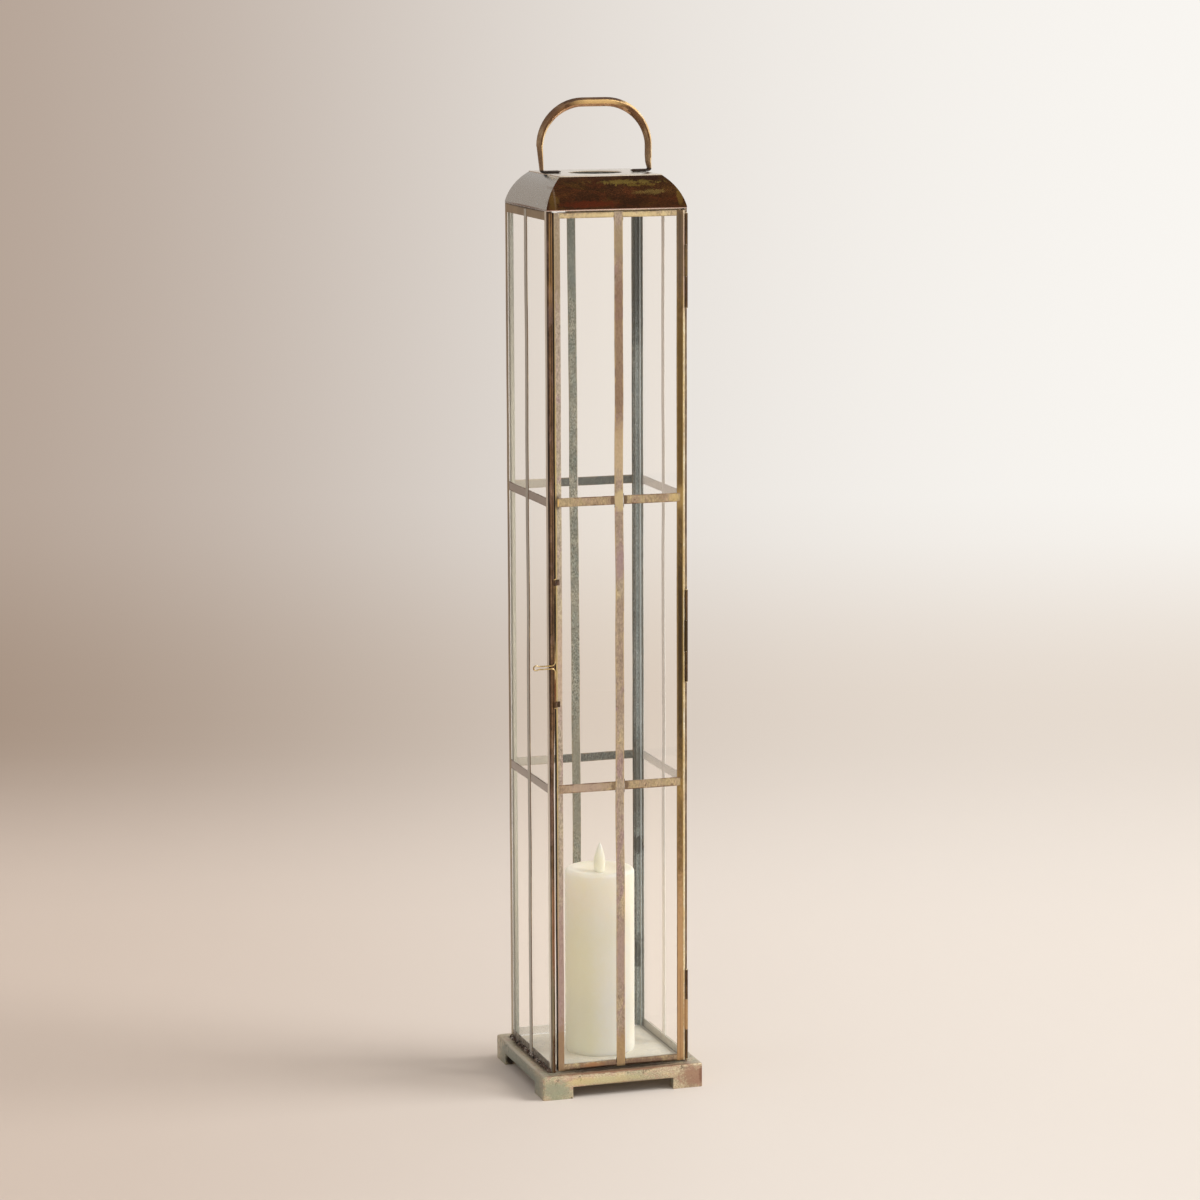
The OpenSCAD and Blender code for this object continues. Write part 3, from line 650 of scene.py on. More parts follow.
def patina_group() -> bpy.types.NodeTree:
    """Build the patina of old brass: cloudy tones, blush, blotches of tarnish, mottling and fine pits.

    Each tone is laid over the last where its own noise is high, and the noises are read at places of their own.

    Returns:
        A group that puts out Color, Rough and Height.
    """
    kit, given, out = new_group(
        "Patina",
        {"Vector": "Vector", "Scale": "Float", "Grain": "Vector",
         **dict.fromkeys(TONES, "Color"), **dict.fromkeys(AMOUNTS, "Float")},
        {"Color": "Color", "Rough": "Float", "Height": "Float"})
    place, scale = given["Vector"], given["Scale"]
    drawn = kit.vector("MULTIPLY", place, given["Grain"])
    cloud = kit.noise(drawn, scale, 4, 0.55, 0.8)
    glow = kit.noise(kit.shift(drawn, (3.1, 1.7, 0.4)), kit.times(scale, 2.3), 5, 0.6, 0.5)
    blush = kit.noise(kit.shift(drawn, (7.7, 2.9, 6.1)), kit.times(scale, 3.4), 6, 0.62, 0.9)
    blotch = kit.noise(kit.shift(place, (0.9, 5.3, 2.2)), kit.times(scale, 4.6), 8, 0.72, 1.2)
    mottle = kit.noise(kit.shift(drawn, (4.4, 0.6, 1.9)), kit.times(scale, 27), 5, 0.7, 0.4)
    pits = kit.noise(place, kit.times(scale, 45), 3, 0.6)
    edge = kit.maths("SUBTRACT", 0.74, kit.times(given["Tarnish Amount"], 0.36))
    tarnished = kit.rise(blotch, edge, kit.maths("ADD", edge, 0.07))
    pitted = kit.times(kit.rise(pits, 0.52, 0.7), given["Pit Amount"])
    colour = given["Base"]
    for tone, noise, low, high in (("Shade", cloud, 0.4, 0.62), ("Glow", glow, 0.48, 0.66),
                                   ("Blush", blush, 0.48, 0.64)):
        share = kit.times(kit.rise(noise, low, high), given[f"{tone} Amount"])
        colour = kit.mix(share, colour, given[tone])
    colour = kit.mix(tarnished, colour, given["Tarnish"])
    colour = kit.mix(given["Mottle Amount"], colour, kit.rise(mottle, 0.32, 0.68), "OVERLAY")
    colour = kit.mix(pitted, colour, PIT_BLACK)
    rough = kit.maths("ADD", kit.times(tarnished, 0.2), kit.times(mottle, 0.14))
    worked = kit.maths("ADD", kit.times(tarnished, 0.4), kit.times(mottle, 0.5))
    height = kit.maths("SUBTRACT", worked, kit.times(pitted, 0.8))
    kit.fill(out, Color=colour, Rough=rough, Height=height)
    return kit.tree


def patch_group() -> bpy.types.NodeTree:
    """Build a ragged patch: a mask that is 1 inside an ellipsoid and falls off outside it.

    Returns:
        A group that puts out Mask.
    """
    kit, given, out = new_group(
        "Patch", {"Vector": "Vector", "Centre": "Vector", "Size": "Vector", "Ragged": "Float"},
        {"Mask": "Float"})
    share = kit.vector("DIVIDE", kit.vector("SUBTRACT", given["Vector"], given["Centre"]), given["Size"])
    length = kit.vector("LENGTH", share, (0.0, 0.0, 0.0), "Value")
    ragged = kit.maths("SUBTRACT", kit.noise(given["Vector"], 130.0, 8, 0.72, 0.8), 0.5)
    distance = kit.maths("ADD", length, kit.times(ragged, given["Ragged"]))
    kit.fill(out, Mask=kit.maths("SUBTRACT", 1.0, kit.rise(distance, 0.45, 1.15)))
    return kit.tree


def edge_tone_group() -> bpy.types.NodeTree:
    """Build coloured edges: the piece's own rim attribute, broken up by noise. Their colour stands partly for wear
    and partly for painted light: a highlight where it is pale, shade where it is dark.

    Returns:
        A group that puts out Mask.
    """
    kit, given, out = new_group("Edge tone", {"Vector": "Vector", "Amount": "Float"}, {"Mask": "Float"})
    rim = kit.add("ShaderNodeAttribute", attribute_name="rim")
    broken = kit.rise(kit.noise(given["Vector"], 90.0, 5, 0.6), 0.35, 0.62)
    share = kit.times(rim.outputs["Fac"], broken)
    kit.fill(out, Mask=kit.maths("MULTIPLY", share, given["Amount"], clamp=True))
    return kit.tree


GROUPS = {"patina": patina_group(), "patch": patch_group(), "edge_tone": edge_tone_group()}


def new_material(name: str) -> tuple[Material, Kit, bpy.types.Node, Socket]:
    """Start a material with a Principled shader.

    Args:
        name: Its name.

    Returns:
        The material, a kit on its tree, its shader and the object coordinates.
    """
    material = bpy.data.materials.new(name)
    material.use_nodes = True
    material.node_tree.nodes.clear()
    kit = Kit(material.node_tree)
    shader = kit.add("ShaderNodeBsdfPrincipled")
    kit.add("ShaderNodeOutputMaterial")
    kit.show(shader.outputs[0])
    return material, kit, shader, kit.add("ShaderNodeTexCoord").outputs["Object"]


# Finishes

@dataclass(frozen=True)
class Patch:
    """A patch of another colour at one place, in millimetres."""

    centre: Point
    size: Point
    colour: Colour
    strength: float = 1.0
    ragged: float = 1.2

    def over(self, colour: Socket, kit: Kit, place: Socket) -> Socket:
        """Lay the patch over a colour.

        Args:
            colour: The colour under it.
            place: The object coordinates.

        Returns:
            The colour with the patch.
        """
        mask = kit.place(GROUPS["patch"], Vector=place, Centre=tuple(MM * v for v in self.centre),
                         Size=tuple(MM * v for v in self.size), Ragged=self.ragged)
        return kit.mix(kit.times(mask.outputs["Mask"], self.strength), colour, linear(self.colour))


def patched(*rows: tuple) -> tuple[Patch, ...]:
    """Make patches of rows of their values."""
    return tuple(Patch(*row) for row in rows)


@dataclass(frozen=True)
class AgedBrass:
    """Brass with a patina, a colour laid over at grazing angles as a painted reflection, and patches: some of the
    real one's own colour, some painted shade and highlights.
    """

    name: str
    base: Colour
    shade: Colour
    glow: Colour
    blush: Colour = (0.62, 0.50, 0.46)
    tarnish: Colour = (0.30, 0.27, 0.20)
    # Colour laid over at grazing angles: a painted reflection, pale on most finishes and dark on the latch wire.
    grazing_reflection: Colour = (0.86, 0.84, 0.80)
    scale: float = 22.0
    grain: Point = (1.0, 1.0, 0.45)
    shade_amount: float = 0.8
    glow_amount: float = 0.7
    blush_amount: float = 0.3
    tarnish_amount: float = 0.3
    mottle_amount: float = 0.25
    pit_amount: float = 0.25
    # Share of the painted grazing reflection.
    grazing_reflection_amount: float = 0.75
    # Colour and share of the edges: partly wear, partly painted light, a highlight where pale and shade where dark.
    edge_colour: Colour = (0.84, 0.70, 0.50)
    edge_amount: float = 0.0
    roughness: float = 0.3
    metallic: float = 0.85
    coat: float = 0.3
    coat_roughness: float = 0.12
    relief: float = 0.25
    relief_depth: float = 0.3
    patches: tuple[Patch, ...] = ()

    def material(self) -> Material:
        """Build the material: the patina, the painted reflection at grazing angles over it, then the patches and the
        coloured edges.

        Returns:
            The material.
        """
        material, kit, shader, place = new_material(self.name)
        tones = {name: linear(getattr(self, name.lower())) for name in TONES}
        amounts = {name: getattr(self, name.lower().replace(" ", "_")) for name in AMOUNTS}
        patina = kit.place(GROUPS["patina"], Vector=place, Scale=self.scale, Grain=self.grain, **tones, **amounts)
        # Painted reflection: the grazing colour is laid over the patina where the surface turns from the view.
        facing = kit.add("ShaderNodeLayerWeight").outputs["Facing"]
        grazing = kit.times(kit.rise(facing, 0.4, 0.72), self.grazing_reflection_amount)
        colour = kit.mix(grazing, patina.outputs["Color"], linear(self.grazing_reflection))
        for patch in self.patches:
            colour = patch.over(colour, kit, place)
        # Coloured edges: partly wear, partly painted highlight and shade.
        edge_tone = kit.place(GROUPS["edge_tone"], Vector=place, Amount=self.edge_amount)
        kit.fill(shader, Base_Color=kit.mix(edge_tone.outputs["Mask"], colour, linear(self.edge_colour)),
                 Roughness=kit.maths("ADD", patina.outputs["Rough"], self.roughness, clamp=True),
                 Normal=kit.bump(patina.outputs["Height"], self.relief, self.relief_depth),
                 Metallic=self.metallic, Coat_Weight=self.coat, Coat_Roughness=self.coat_roughness)
        return material


@dataclass(frozen=True)
class ClearGlass:
    """Clear pane glass that lets light through, and that glows faintly: painted light for studio light caught by dust
    on it.
    """

    name: str = "Clear pane glass"
    tint: Colour = (0.998, 0.994, 0.988)
    bending: float = 1.07
    pane_glow: Colour = (1.0, 0.935, 0.84)
    pane_glow_amount: float = 0.014
    shadow: Colour = (0.968, 0.964, 0.96)

    def material(self) -> Material:
        """Build the material: glass that shadow rays pass straight through.

        Returns:
            The material.
        """
        material, kit, shader, _ = new_material(self.name)
        # The emission is painted light: a faint glow of the pane.
        kit.fill(shader, Base_Color=linear(self.tint), Metallic=0.0, Roughness=0.0, IOR=self.bending,
                 Transmission_Weight=1.0, Emission_Color=linear(self.pane_glow), Emission_Strength=self.pane_glow_amount)
        clear = kit.add("ShaderNodeBsdfTransparent")
        kit.fill(clear, Color=linear(self.shadow))
        path = kit.add("ShaderNodeLightPath")
        passing = kit.maths("MAXIMUM", path.outputs["Is Shadow Ray"], path.outputs["Is Diffuse Ray"])
        kit.show(kit.blend(passing, shader.outputs[0], clear.outputs[0]))
        return material


@dataclass(frozen=True)
class Wax:
    """Ivory wax: cloudy tone, faint mottling, a warmer patch, light that spreads under the surface, and a faint glow
    of its own, painted light that lifts its shaded side.
    """

    name: str = "Ivory wax"
    body: Colour = (0.965, 0.94, 0.885)
    # Strength of the glow: painted light, since the wax is no lamp.
    glow: float = 0.10
    deep: Colour = (0.955, 0.93, 0.84)
    fleck: Colour = (0.98, 0.96, 0.90)
    fleck_amount: float = 0.12
    warm: Patch = Patch((-38, -24, 60), (36, 60, 170), (0.94, 0.905, 0.75), 0.8, 0.5)
    roughness: float = 0.38
    spread: Point = (1.0, 0.88, 0.70)
    spread_depth: float = 26.0

    def material(self) -> Material:
        """Build the material.

        Returns:
            The material.
        """
        material, kit, shader, place = new_material(self.name)
        cloud = kit.rise(kit.noise(place, 14.0, 4, 0.5, 0.6), 0.35, 0.7)
        mottle = kit.noise(kit.shift(place, (1.3, 0.2, 4.0)), 220.0, 4, 0.6)
        colour = self.warm.over(kit.mix(cloud, linear(self.body), linear(self.deep)), kit, place)
        flecks = kit.times(kit.rise(mottle, 0.45, 0.75), self.fleck_amount)
        kit.fill(shader, Base_Color=kit.mix(flecks, colour, linear(self.fleck)),
                 Roughness=kit.maths("ADD", self.roughness, kit.times(mottle, 0.2)),
                 Normal=kit.bump(mottle, 0.15, 0.4), Subsurface_Weight=0.85, Subsurface_Radius=self.spread,
                 Subsurface_Scale=self.spread_depth * MM, Emission_Color=linear(self.body),
                 Emission_Strength=self.glow)
        return material


@dataclass(frozen=True)
class Moulded:
    """Moulded plastic or another plain small part, with fine grain and slight unevenness of tone."""

    name: str
    colour: Colour
    worn: Colour
    roughness: float = 0.45
    metallic: float = 0.0
    grain: float = 500.0

    def material(self) -> Material:
        """Build the material.

        Returns:
            The material.
        """
        material, kit, shader, place = new_material(self.name)
        cloud = kit.rise(kit.noise(place, 60.0, 4, 0.55), 0.35, 0.7)
        grain = kit.noise(place, self.grain, 3, 0.6)
        kit.fill(shader, Base_Color=kit.mix(cloud, linear(self.colour), linear(self.worn)),
                 Roughness=kit.maths("ADD", self.roughness, kit.times(grain, 0.12)),
                 Normal=kit.bump(grain, 0.12, 0.15), Metallic=self.metallic)
        return material


VERDIGRIS = (0.62, 0.65, 0.56)
COPPER = (0.63, 0.47, 0.39)
OLIVE_GOLD = (0.54, 0.46, 0.22)
HEM_PINK_HIGHLIGHT = (0.92, 0.76, 0.68)
# Near-black used for painted shade: in gaps, creases, the bend of a post and under the eave.
PAINTED_SHADE_BLACK = (0.10, 0.07, 0.05)
TOP_HINGE_LEVEL, MIDDLE_HINGE_LEVEL, LOW_HINGE_LEVEL = 884.0, 489.0, 78.0
UPPER_BAR_LEVEL, LOWER_BAR_LEVEL = 636.6, 332.8

PLINTH_BRASS = AgedBrass(
    "Plinth brass", base=(0.83, 0.765, 0.64), shade=(0.72, 0.70, 0.58), glow=(0.88, 0.79, 0.63),
    blush=(0.80, 0.64, 0.57), tarnish=(0.50, 0.44, 0.35), scale=20, grain=(1.0, 1.0, 1.8), blush_amount=0.55,
    tarnish_amount=0.45, mottle_amount=0.38, pit_amount=0.45, grazing_reflection_amount=0.35, grazing_reflection=(0.64, 0.63, 0.60),
    edge_colour=(0.48, 0.35, 0.27), edge_amount=0.9, roughness=0.42, metallic=0.55, coat=0.15, relief=0.4, patches=patched(
        ((-74, -89, 10), (20, 12, 12), VERDIGRIS, 0.75, 1.8),
        ((-44, -89, 18), (20, 12, 5), (0.86, 0.78, 0.56), 0.6, 1.8),
        ((-15, -89, 17), (40, 12, 5), (0.80, 0.77, 0.58), 0.6, 1.8),
        ((80, -89, 12), (20, 14, 15), COPPER, 0.8, 2.2),
        ((88, -89, 13), (3.5, 8, 14), (0.50, 0.33, 0.25), 0.7),
        ((0, -86, 26), (95, 6, 2), (0.55, 0.44, 0.34), 0.6, 1.6),
        ((0, -88.5, 26), (95, 4, 2), (0.50, 0.35, 0.26), 0.8),
        ((0, -89.2, 12.5), (60, 2, 1.4), (0.50, 0.40, 0.30), 0.6, 1.0),
        ((-90, 0, 12), (5, 100, 30), (0.50, 0.54, 0.51), 0.8, 1.6),
        # Pale line along the top left edge: painted highlight.
        ((-88.5, 0, 26), (3.5, 100, 2.2), (0.84, 0.82, 0.76), 0.7),
        # Near-black inside the back left arch: painted shade.
        ((-83, 56, 6), (6, 2.2, 9), (0.13, 0.09, 0.07), 0.95, 0.3),
        # Dark strips on the top at the foot of the door and of the left rail: painted shade.
        ((0, -79, 26), (84, 6, 1.5), (0.22, 0.155, 0.11), 0.9),
        ((-79, 0, 26), (3.5, 84, 1.5), (0.36, 0.30, 0.25), 0.75, 1.4)))
ROOF_BRONZE = AgedBrass(
    "Roof bronze", base=(0.275, 0.155, 0.075), shade=(0.20, 0.115, 0.055), glow=(0.38, 0.27, 0.10),
    blush=(0.34, 0.175, 0.085), tarnish=(0.14, 0.09, 0.055), scale=15, grain=(1.0, 1.0, 2.4), glow_amount=0.4,
    blush_amount=0.5, tarnish_amount=0.35, mottle_amount=0.3, grazing_reflection=(0.855, 0.915, 0.95), grazing_reflection_amount=1.0,
    edge_amount=0.35, roughness=0.2, metallic=1.0, coat=0.12, relief=0.12, patches=patched(
        ((14, -60, 965.5), (34, 9, 2.4), OLIVE_GOLD, 0.6, 5.0),
        ((24, -60, 962.5), (22, 9, 1.4), (0.50, 0.42, 0.18), 0.5, 5.0),
        ((38, -68, 955.5), (16, 9, 2.6), (0.46, 0.38, 0.20), 0.6, 4.5),
        ((-28, -76, 944.5), (34, 6, 4), (0.37, 0.15, 0.07), 0.7, 2.0),
        ((69, -72, 949), (4, 8, 12), (0.46, 0.36, 0.16), 0.6, 3.0),
        ((-68, -72, 947), (6, 8, 12), (0.44, 0.33, 0.15), 0.55, 2.4),
        # Pale pink band along the front hem: partly its own colour, partly a painted highlight.
        ((0, -78, 938.3), (140, 5, 1.0), HEM_PINK_HIGHLIGHT, 0.95, 0.2),
        # Darker band along the left hem: painted shade in the gap under the eave.
        ((-78, 0, 938.8), (4, 100, 1.9), (0.50, 0.38, 0.33), 0.9, 0.3),
        ((-66, -68, 958), (1.2, 30, 24), (0.50, 0.42, 0.36), 0.35, 1.6)))
CROWN_BRASS = AgedBrass(
    "Vent plate brass", base=(0.92, 0.87, 0.79), shade=(0.84, 0.78, 0.69), glow=(0.96, 0.92, 0.86), scale=20,
    blush_amount=0.1, tarnish_amount=0.1, mottle_amount=0.1, pit_amount=0.1, roughness=0.22, coat=0.6, relief=0.1,
    edge_amount=0.5)
HANDLE_BRASS = AgedBrass(
    "Handle brass", base=(0.40, 0.265, 0.13), shade=(0.31, 0.19, 0.08), glow=(0.52, 0.36, 0.19), scale=26,
    blush=(0.44, 0.29, 0.16), tarnish=(0.24, 0.15, 0.08), tarnish_amount=0.2, mottle_amount=0.1, pit_amount=0.1,
    grazing_reflection_amount=0.0, metallic=0.6, coat=0.1, relief=0.08,
    # Its pale gold patch on top of the arch is a painted highlight.
    patches=patched(((4, 0, 1046), (34, 14, 11), (0.85, 0.70, 0.46), 0.95, 0.5)))
# The next four finishes are lit and shaded copies of the handle's, for the faces that look each way: painted light
# and shade.
HANDLE_LIT = replace(
    HANDLE_BRASS, name="Handle lit edge", base=(0.93, 0.81, 0.60), shade=(0.82, 0.66, 0.42), glow=(1.0, 0.93, 0.77),
    metallic=0.2, patches=())
HANDLE_DIM = replace(
    HANDLE_BRASS, name="Handle dim side", base=(0.57, 0.455, 0.325), shade=(0.44, 0.33, 0.215),
    glow=(0.68, 0.57, 0.43), metallic=0.4, patches=patched(
        ((-40, 0, 1030), (20, 14, 20), (0.36, 0.22, 0.11), 0.85, 0.6),
        ((44, 0, 1028), (20, 14, 22), (0.38, 0.24, 0.12), 0.85, 0.6)))
HANDLE_SHADED_TOP = replace(
    HANDLE_BRASS, name="Handle upper side, painted shade", base=(0.34, 0.22, 0.10), shade=(0.26, 0.16, 0.07),
    glow=(0.44, 0.31, 0.15), metallic=0.2, roughness=0.6, coat=0.0,
    # Its pale patch on the upper right is a painted highlight.
    patches=patched(((42, 0, 1040), (18, 14, 10), (0.90, 0.76, 0.53), 0.95, 0.5)))
HANDLE_LIT_UNDER = replace(
    HANDLE_BRASS, name="Handle under side, painted light", base=(0.70, 0.53, 0.38), shade=(0.58, 0.41, 0.27),
    glow=(0.80, 0.64, 0.48), metallic=0.3, patches=())
HANDLE_FOOT = replace(
    HANDLE_BRASS, name="Handle feet", base=(0.17, 0.12, 0.09), shade=(0.10, 0.07, 0.05), glow=(0.36, 0.26, 0.18),
    glow_amount=0.35, metallic=0.0, roughness=0.75, coat=0.0, relief=0.6, patches=())
DOOR_TAN = AgedBrass(
    "Door brass", base=(0.76, 0.68, 0.54), shade=(0.64, 0.55, 0.44), glow=(0.86, 0.79, 0.61),
    blush=(0.72, 0.61, 0.57), tarnish=(0.44, 0.34, 0.24), blush_amount=0.4, tarnish_amount=0.45, mottle_amount=0.35,
    edge_colour=(0.42, 0.31, 0.22), edge_amount=0.6, patches=patched(
        ((0, -76, 932), (75, 8, 5), (0.93, 0.84, 0.63), 0.65, 2.4),
        # Dark line along the top edge: painted shade under the roof's hem.
        ((0, -76.2, 937), (75, 8, 1.3), (0.17, 0.10, 0.05), 0.85, 0.8),
        ((0, -76, 30), (75, 8, 4.5), (0.50, 0.39, 0.34), 0.75, 1.6),
        ((-30, -76, 31), (14, 8, 3), (0.74, 0.54, 0.36), 0.7, 1.8),
        # Dark line along the bottom edge: painted shade where the door meets the plinth.
        ((0, -76, 28), (75, 8, 1.6), (0.24, 0.15, 0.11), 0.85, 0.6)))
LATCH_STILE_TAN = AgedBrass(
    "Latch stile brass", base=(0.73, 0.68, 0.60), shade=(0.69, 0.62, 0.56), glow=(0.80, 0.75, 0.62),
    blush=(0.72, 0.62, 0.62), tarnish=(0.56, 0.46, 0.34), blush_amount=0.6, mottle_amount=0.35, edge_amount=0.15,
    patches=patched(
        ((-66, -76, 890), (9, 8, 60), (0.60, 0.52, 0.38), 0.6),
        ((-65, -76, 470), (9, 8, 60), (0.80, 0.68, 0.60), 0.5),
        ((-64, -76, 120), (9, 8, 130), (0.67, 0.56, 0.54), 0.7, 1.6),
        ((-65, -76, 45), (9, 8, 40), (0.61, 0.49, 0.33), 0.7, 1.4),
        ((-68.2, -76, 520), (1.8, 9, 440), (0.80, 0.71, 0.46), 0.85, 0.4),
        ((-66, -76.6, UPPER_BAR_LEVEL), (3.4, 2, 9), (0.22, 0.14, 0.09), 0.8, 0.8)))
# Near-black for the latch stile's left flank in the gap by the post: painted shade.
GAP_PAINTED_SHADE = AgedBrass(
    "Latch stile flank, painted shade", base=(0.16, 0.11, 0.075), shade=(0.11, 0.07, 0.05), glow=(0.26, 0.18, 0.12),
    tarnish=(0.07, 0.05, 0.04), grazing_reflection_amount=0.0, roughness=0.5, metallic=0.4, coat=0.0)
DOOR_MAUVE = AgedBrass(
    "Door bar brass", base=(0.70, 0.63, 0.55), shade=(0.62, 0.53, 0.46), glow=(0.79, 0.71, 0.56),
    blush=(0.66, 0.55, 0.55), tarnish=(0.50, 0.41, 0.31), blush_amount=0.75, tarnish_amount=0.4, mottle_amount=0.28,
    edge_amount=0.7, edge_colour=(0.82, 0.71, 0.51), patches=patched(
        ((2, -76, 800), (12, 8, 110), (0.53, 0.41, 0.31), 0.7, 1.4),
        ((2, -76, 905), (12, 8, 20), (0.64, 0.56, 0.42), 0.7, 1.6),
        ((2, -76, 690), (12, 8, 34), (0.80, 0.70, 0.54), 0.6, 1.6),
        ((2, -76, UPPER_BAR_LEVEL), (12, 8, 12), (0.82, 0.74, 0.56), 0.75, 1.6),
        ((2, -76, 570), (12, 8, 22), (0.66, 0.56, 0.57), 0.6, 1.4),
        ((2, -76, 150), (12, 8, 40), (0.71, 0.62, 0.58), 0.6, 1.4),
        ((2, -76, 40), (12, 8, 30), (0.70, 0.58, 0.40), 0.7, 2.0)))
DOOR_BAR = AgedBrass(
    "Door crossbar brass", base=(0.72, 0.64, 0.50), shade=(0.64, 0.54, 0.44), glow=(0.80, 0.72, 0.55),
    blush=(0.70, 0.59, 0.54), tarnish=(0.44, 0.34, 0.25), blush_amount=0.4, tarnish_amount=0.4, mottle_amount=0.28,
    edge_amount=1.0, edge_colour=(0.44, 0.31, 0.21), patches=patched(
        ((-66.5, -76, UPPER_BAR_LEVEL), (2.6, 4, 6), (0.92, 0.76, 0.46), 0.95, 0.4),
        ((8, -76, UPPER_BAR_LEVEL), (3, 4, 7), (0.34, 0.24, 0.18), 0.8, 1.4),
        ((-6, -76, UPPER_BAR_LEVEL), (3, 4, 7), (0.36, 0.26, 0.20), 0.7, 1.4),
        ((62, -76, UPPER_BAR_LEVEL), (7, 4, 7), (0.86, 0.76, 0.52), 0.6, 1.4),
        ((-35, -76, LOWER_BAR_LEVEL), (28, 4, 8), (0.72, 0.63, 0.57), 0.75),
        ((8, -76, LOWER_BAR_LEVEL), (3.5, 4, 7), (0.38, 0.28, 0.22), 0.7, 1.4),
        ((-6, -76, LOWER_BAR_LEVEL), (3, 4, 7), (0.38, 0.28, 0.22), 0.6, 1.4)))
SIDE_BAR = AgedBrass(
    "Side crossbar brass", base=(0.65, 0.60, 0.55), shade=(0.54, 0.49, 0.44), glow=(0.75, 0.70, 0.63),
    blush=(0.64, 0.53, 0.51), tarnish=(0.36, 0.28, 0.23), blush_amount=0.5, grazing_reflection=(0.76, 0.75, 0.74),
    grazing_reflection_amount=0.85, edge_colour=(0.42, 0.32, 0.26), edge_amount=0.8)
HINGE_STILE_BROWN = AgedBrass(
    "Hinge stile brass", base=(0.53, 0.42, 0.25), shade=(0.41, 0.31, 0.16), glow=(0.66, 0.54, 0.30),
    blush=(0.60, 0.47, 0.36), tarnish=(0.31, 0.23, 0.13), mottle_amount=0.2, edge_amount=0.2, patches=patched(
        ((66, -76, 900), (12, 8, 60), (0.40, 0.33, 0.26), 0.85, 2.0),
        ((69, -76, 740), (16, 8, 120), (0.35, 0.26, 0.09), 0.8, 1.0),
        ((69, -76, UPPER_BAR_LEVEL), (16, 8, 14), (0.70, 0.58, 0.36), 0.7, 1.4),
        ((69, -76, 480), (16, 8, 150), (0.24, 0.175, 0.065), 0.9, 1.0),
        ((69, -76, 110), (16, 8, 150), (0.81, 0.65, 0.47), 0.75, 1.4),
        ((64.6, -76, 170), (1.0, 8, 160), (0.42, 0.28, 0.18), 0.8, 0.6),
        ((71.5, -76, 480), (0.8, 8, 480), (0.84, 0.72, 0.42), 0.6, 0.4),
        ((65.2, -76, 480), (0.9, 8, 480), (0.62, 0.50, 0.30), 0.5, 0.4)))
# Near-white gold of the rolled edge and the hinge pins: partly their brass, partly a painted highlight.
ROLL_GOLD_AND_HIGHLIGHT = AgedBrass(
    "Rolled edge brass and painted highlight", base=(1.0, 0.93, 0.76), shade=(0.93, 0.82, 0.60), glow=(1.0, 0.98, 0.88), scale=26,
    tarnish=(0.46, 0.33, 0.16), tarnish_amount=0.25, grazing_reflection_amount=0.1, roughness=0.2, metallic=0.15,
    patches=patched(((72, -76, 890), (6, 8, 60), (0.90, 0.77, 0.69), 0.85, 1.6)))
RIB_BROWN = AgedBrass(
    "Latch post rib brass", base=(0.50, 0.37, 0.25), shade=(0.36, 0.25, 0.15), glow=(0.66, 0.53, 0.40),
    tarnish=(0.22, 0.14, 0.08), tarnish_amount=0.35, grazing_reflection_amount=0.1, patches=patched(
        ((-72, -76, 890), (9, 8, 60), (0.64, 0.48, 0.26), 0.6),
        ((-72, -76, 180), (9, 8, 60), (0.72, 0.50, 0.34), 0.6, 1.4),
        ((-72, -76, 100), (9, 8, 40), (0.62, 0.58, 0.46), 0.6, 1.4)))
FRAME_BROWN = AgedBrass(
    "Frame brass", base=(0.60, 0.51, 0.39), shade=(0.47, 0.38, 0.29), glow=(0.70, 0.61, 0.46),
    blush=(0.62, 0.52, 0.47), tarnish=(0.30, 0.24, 0.18), grazing_reflection=(0.95, 0.94, 0.90), grazing_reflection_amount=0.95,
    edge_colour=(0.34, 0.26, 0.19), edge_amount=0.6)
HEAD_RAIL_BROWN = AgedBrass(
    "Head rail brass", base=(0.62, 0.54, 0.41), shade=(0.50, 0.42, 0.31), glow=(0.72, 0.64, 0.47),
    blush=(0.60, 0.50, 0.44), tarnish=(0.32, 0.25, 0.18), grazing_reflection=(0.70, 0.66, 0.58), grazing_reflection_amount=0.4,
    # Its near-black line along the top of the left rail is painted shade under the eave.
    patches=patched(((-76, 0, 938.4), (3, 100, 2.4), PAINTED_SHADE_BLACK, 0.9, 0.6)))
CORNER_DARK = AgedBrass(
    "Latch post brass", base=(0.30, 0.205, 0.12), shade=(0.20, 0.125, 0.065), glow=(0.44, 0.33, 0.22),
    tarnish=(0.16, 0.10, 0.06), tarnish_amount=0.35, grazing_reflection=(0.95, 0.94, 0.90), grazing_reflection_amount=0.95,
    patches=patched(
        # Near-black line along the bend: painted shade.
        ((-75.3, -76.4, 640), (1.0, 0.9, 340), PAINTED_SHADE_BLACK, 0.95, 0.3),
        ((-74.6, -76.4, 130), (1.6, 0.9, 170), (0.52, 0.49, 0.40), 0.9, 0.6),
        # Near-black lines between the ribs and along the edge by the door: painted shade.
        ((-72.6, -76.4, 480), (0.5, 0.9, 500), PAINTED_SHADE_BLACK, 0.95, 0.3),
        ((-70.6, -76, 640), (1.3, 2, 340), PAINTED_SHADE_BLACK, 0.9, 0.3)))
RAIL_DARK = AgedBrass(
    "Left foot rail brass", base=(0.60, 0.57, 0.51), shade=(0.46, 0.42, 0.37), glow=(0.76, 0.73, 0.67),
    blush=(0.44, 0.33, 0.28), tarnish=(0.13, 0.10, 0.08), scale=40, grain=(1.0, 1.0, 1.0), tarnish_amount=0.8,
    mottle_amount=0.5, pit_amount=0.6, grazing_reflection_amount=0.25, relief=0.9)
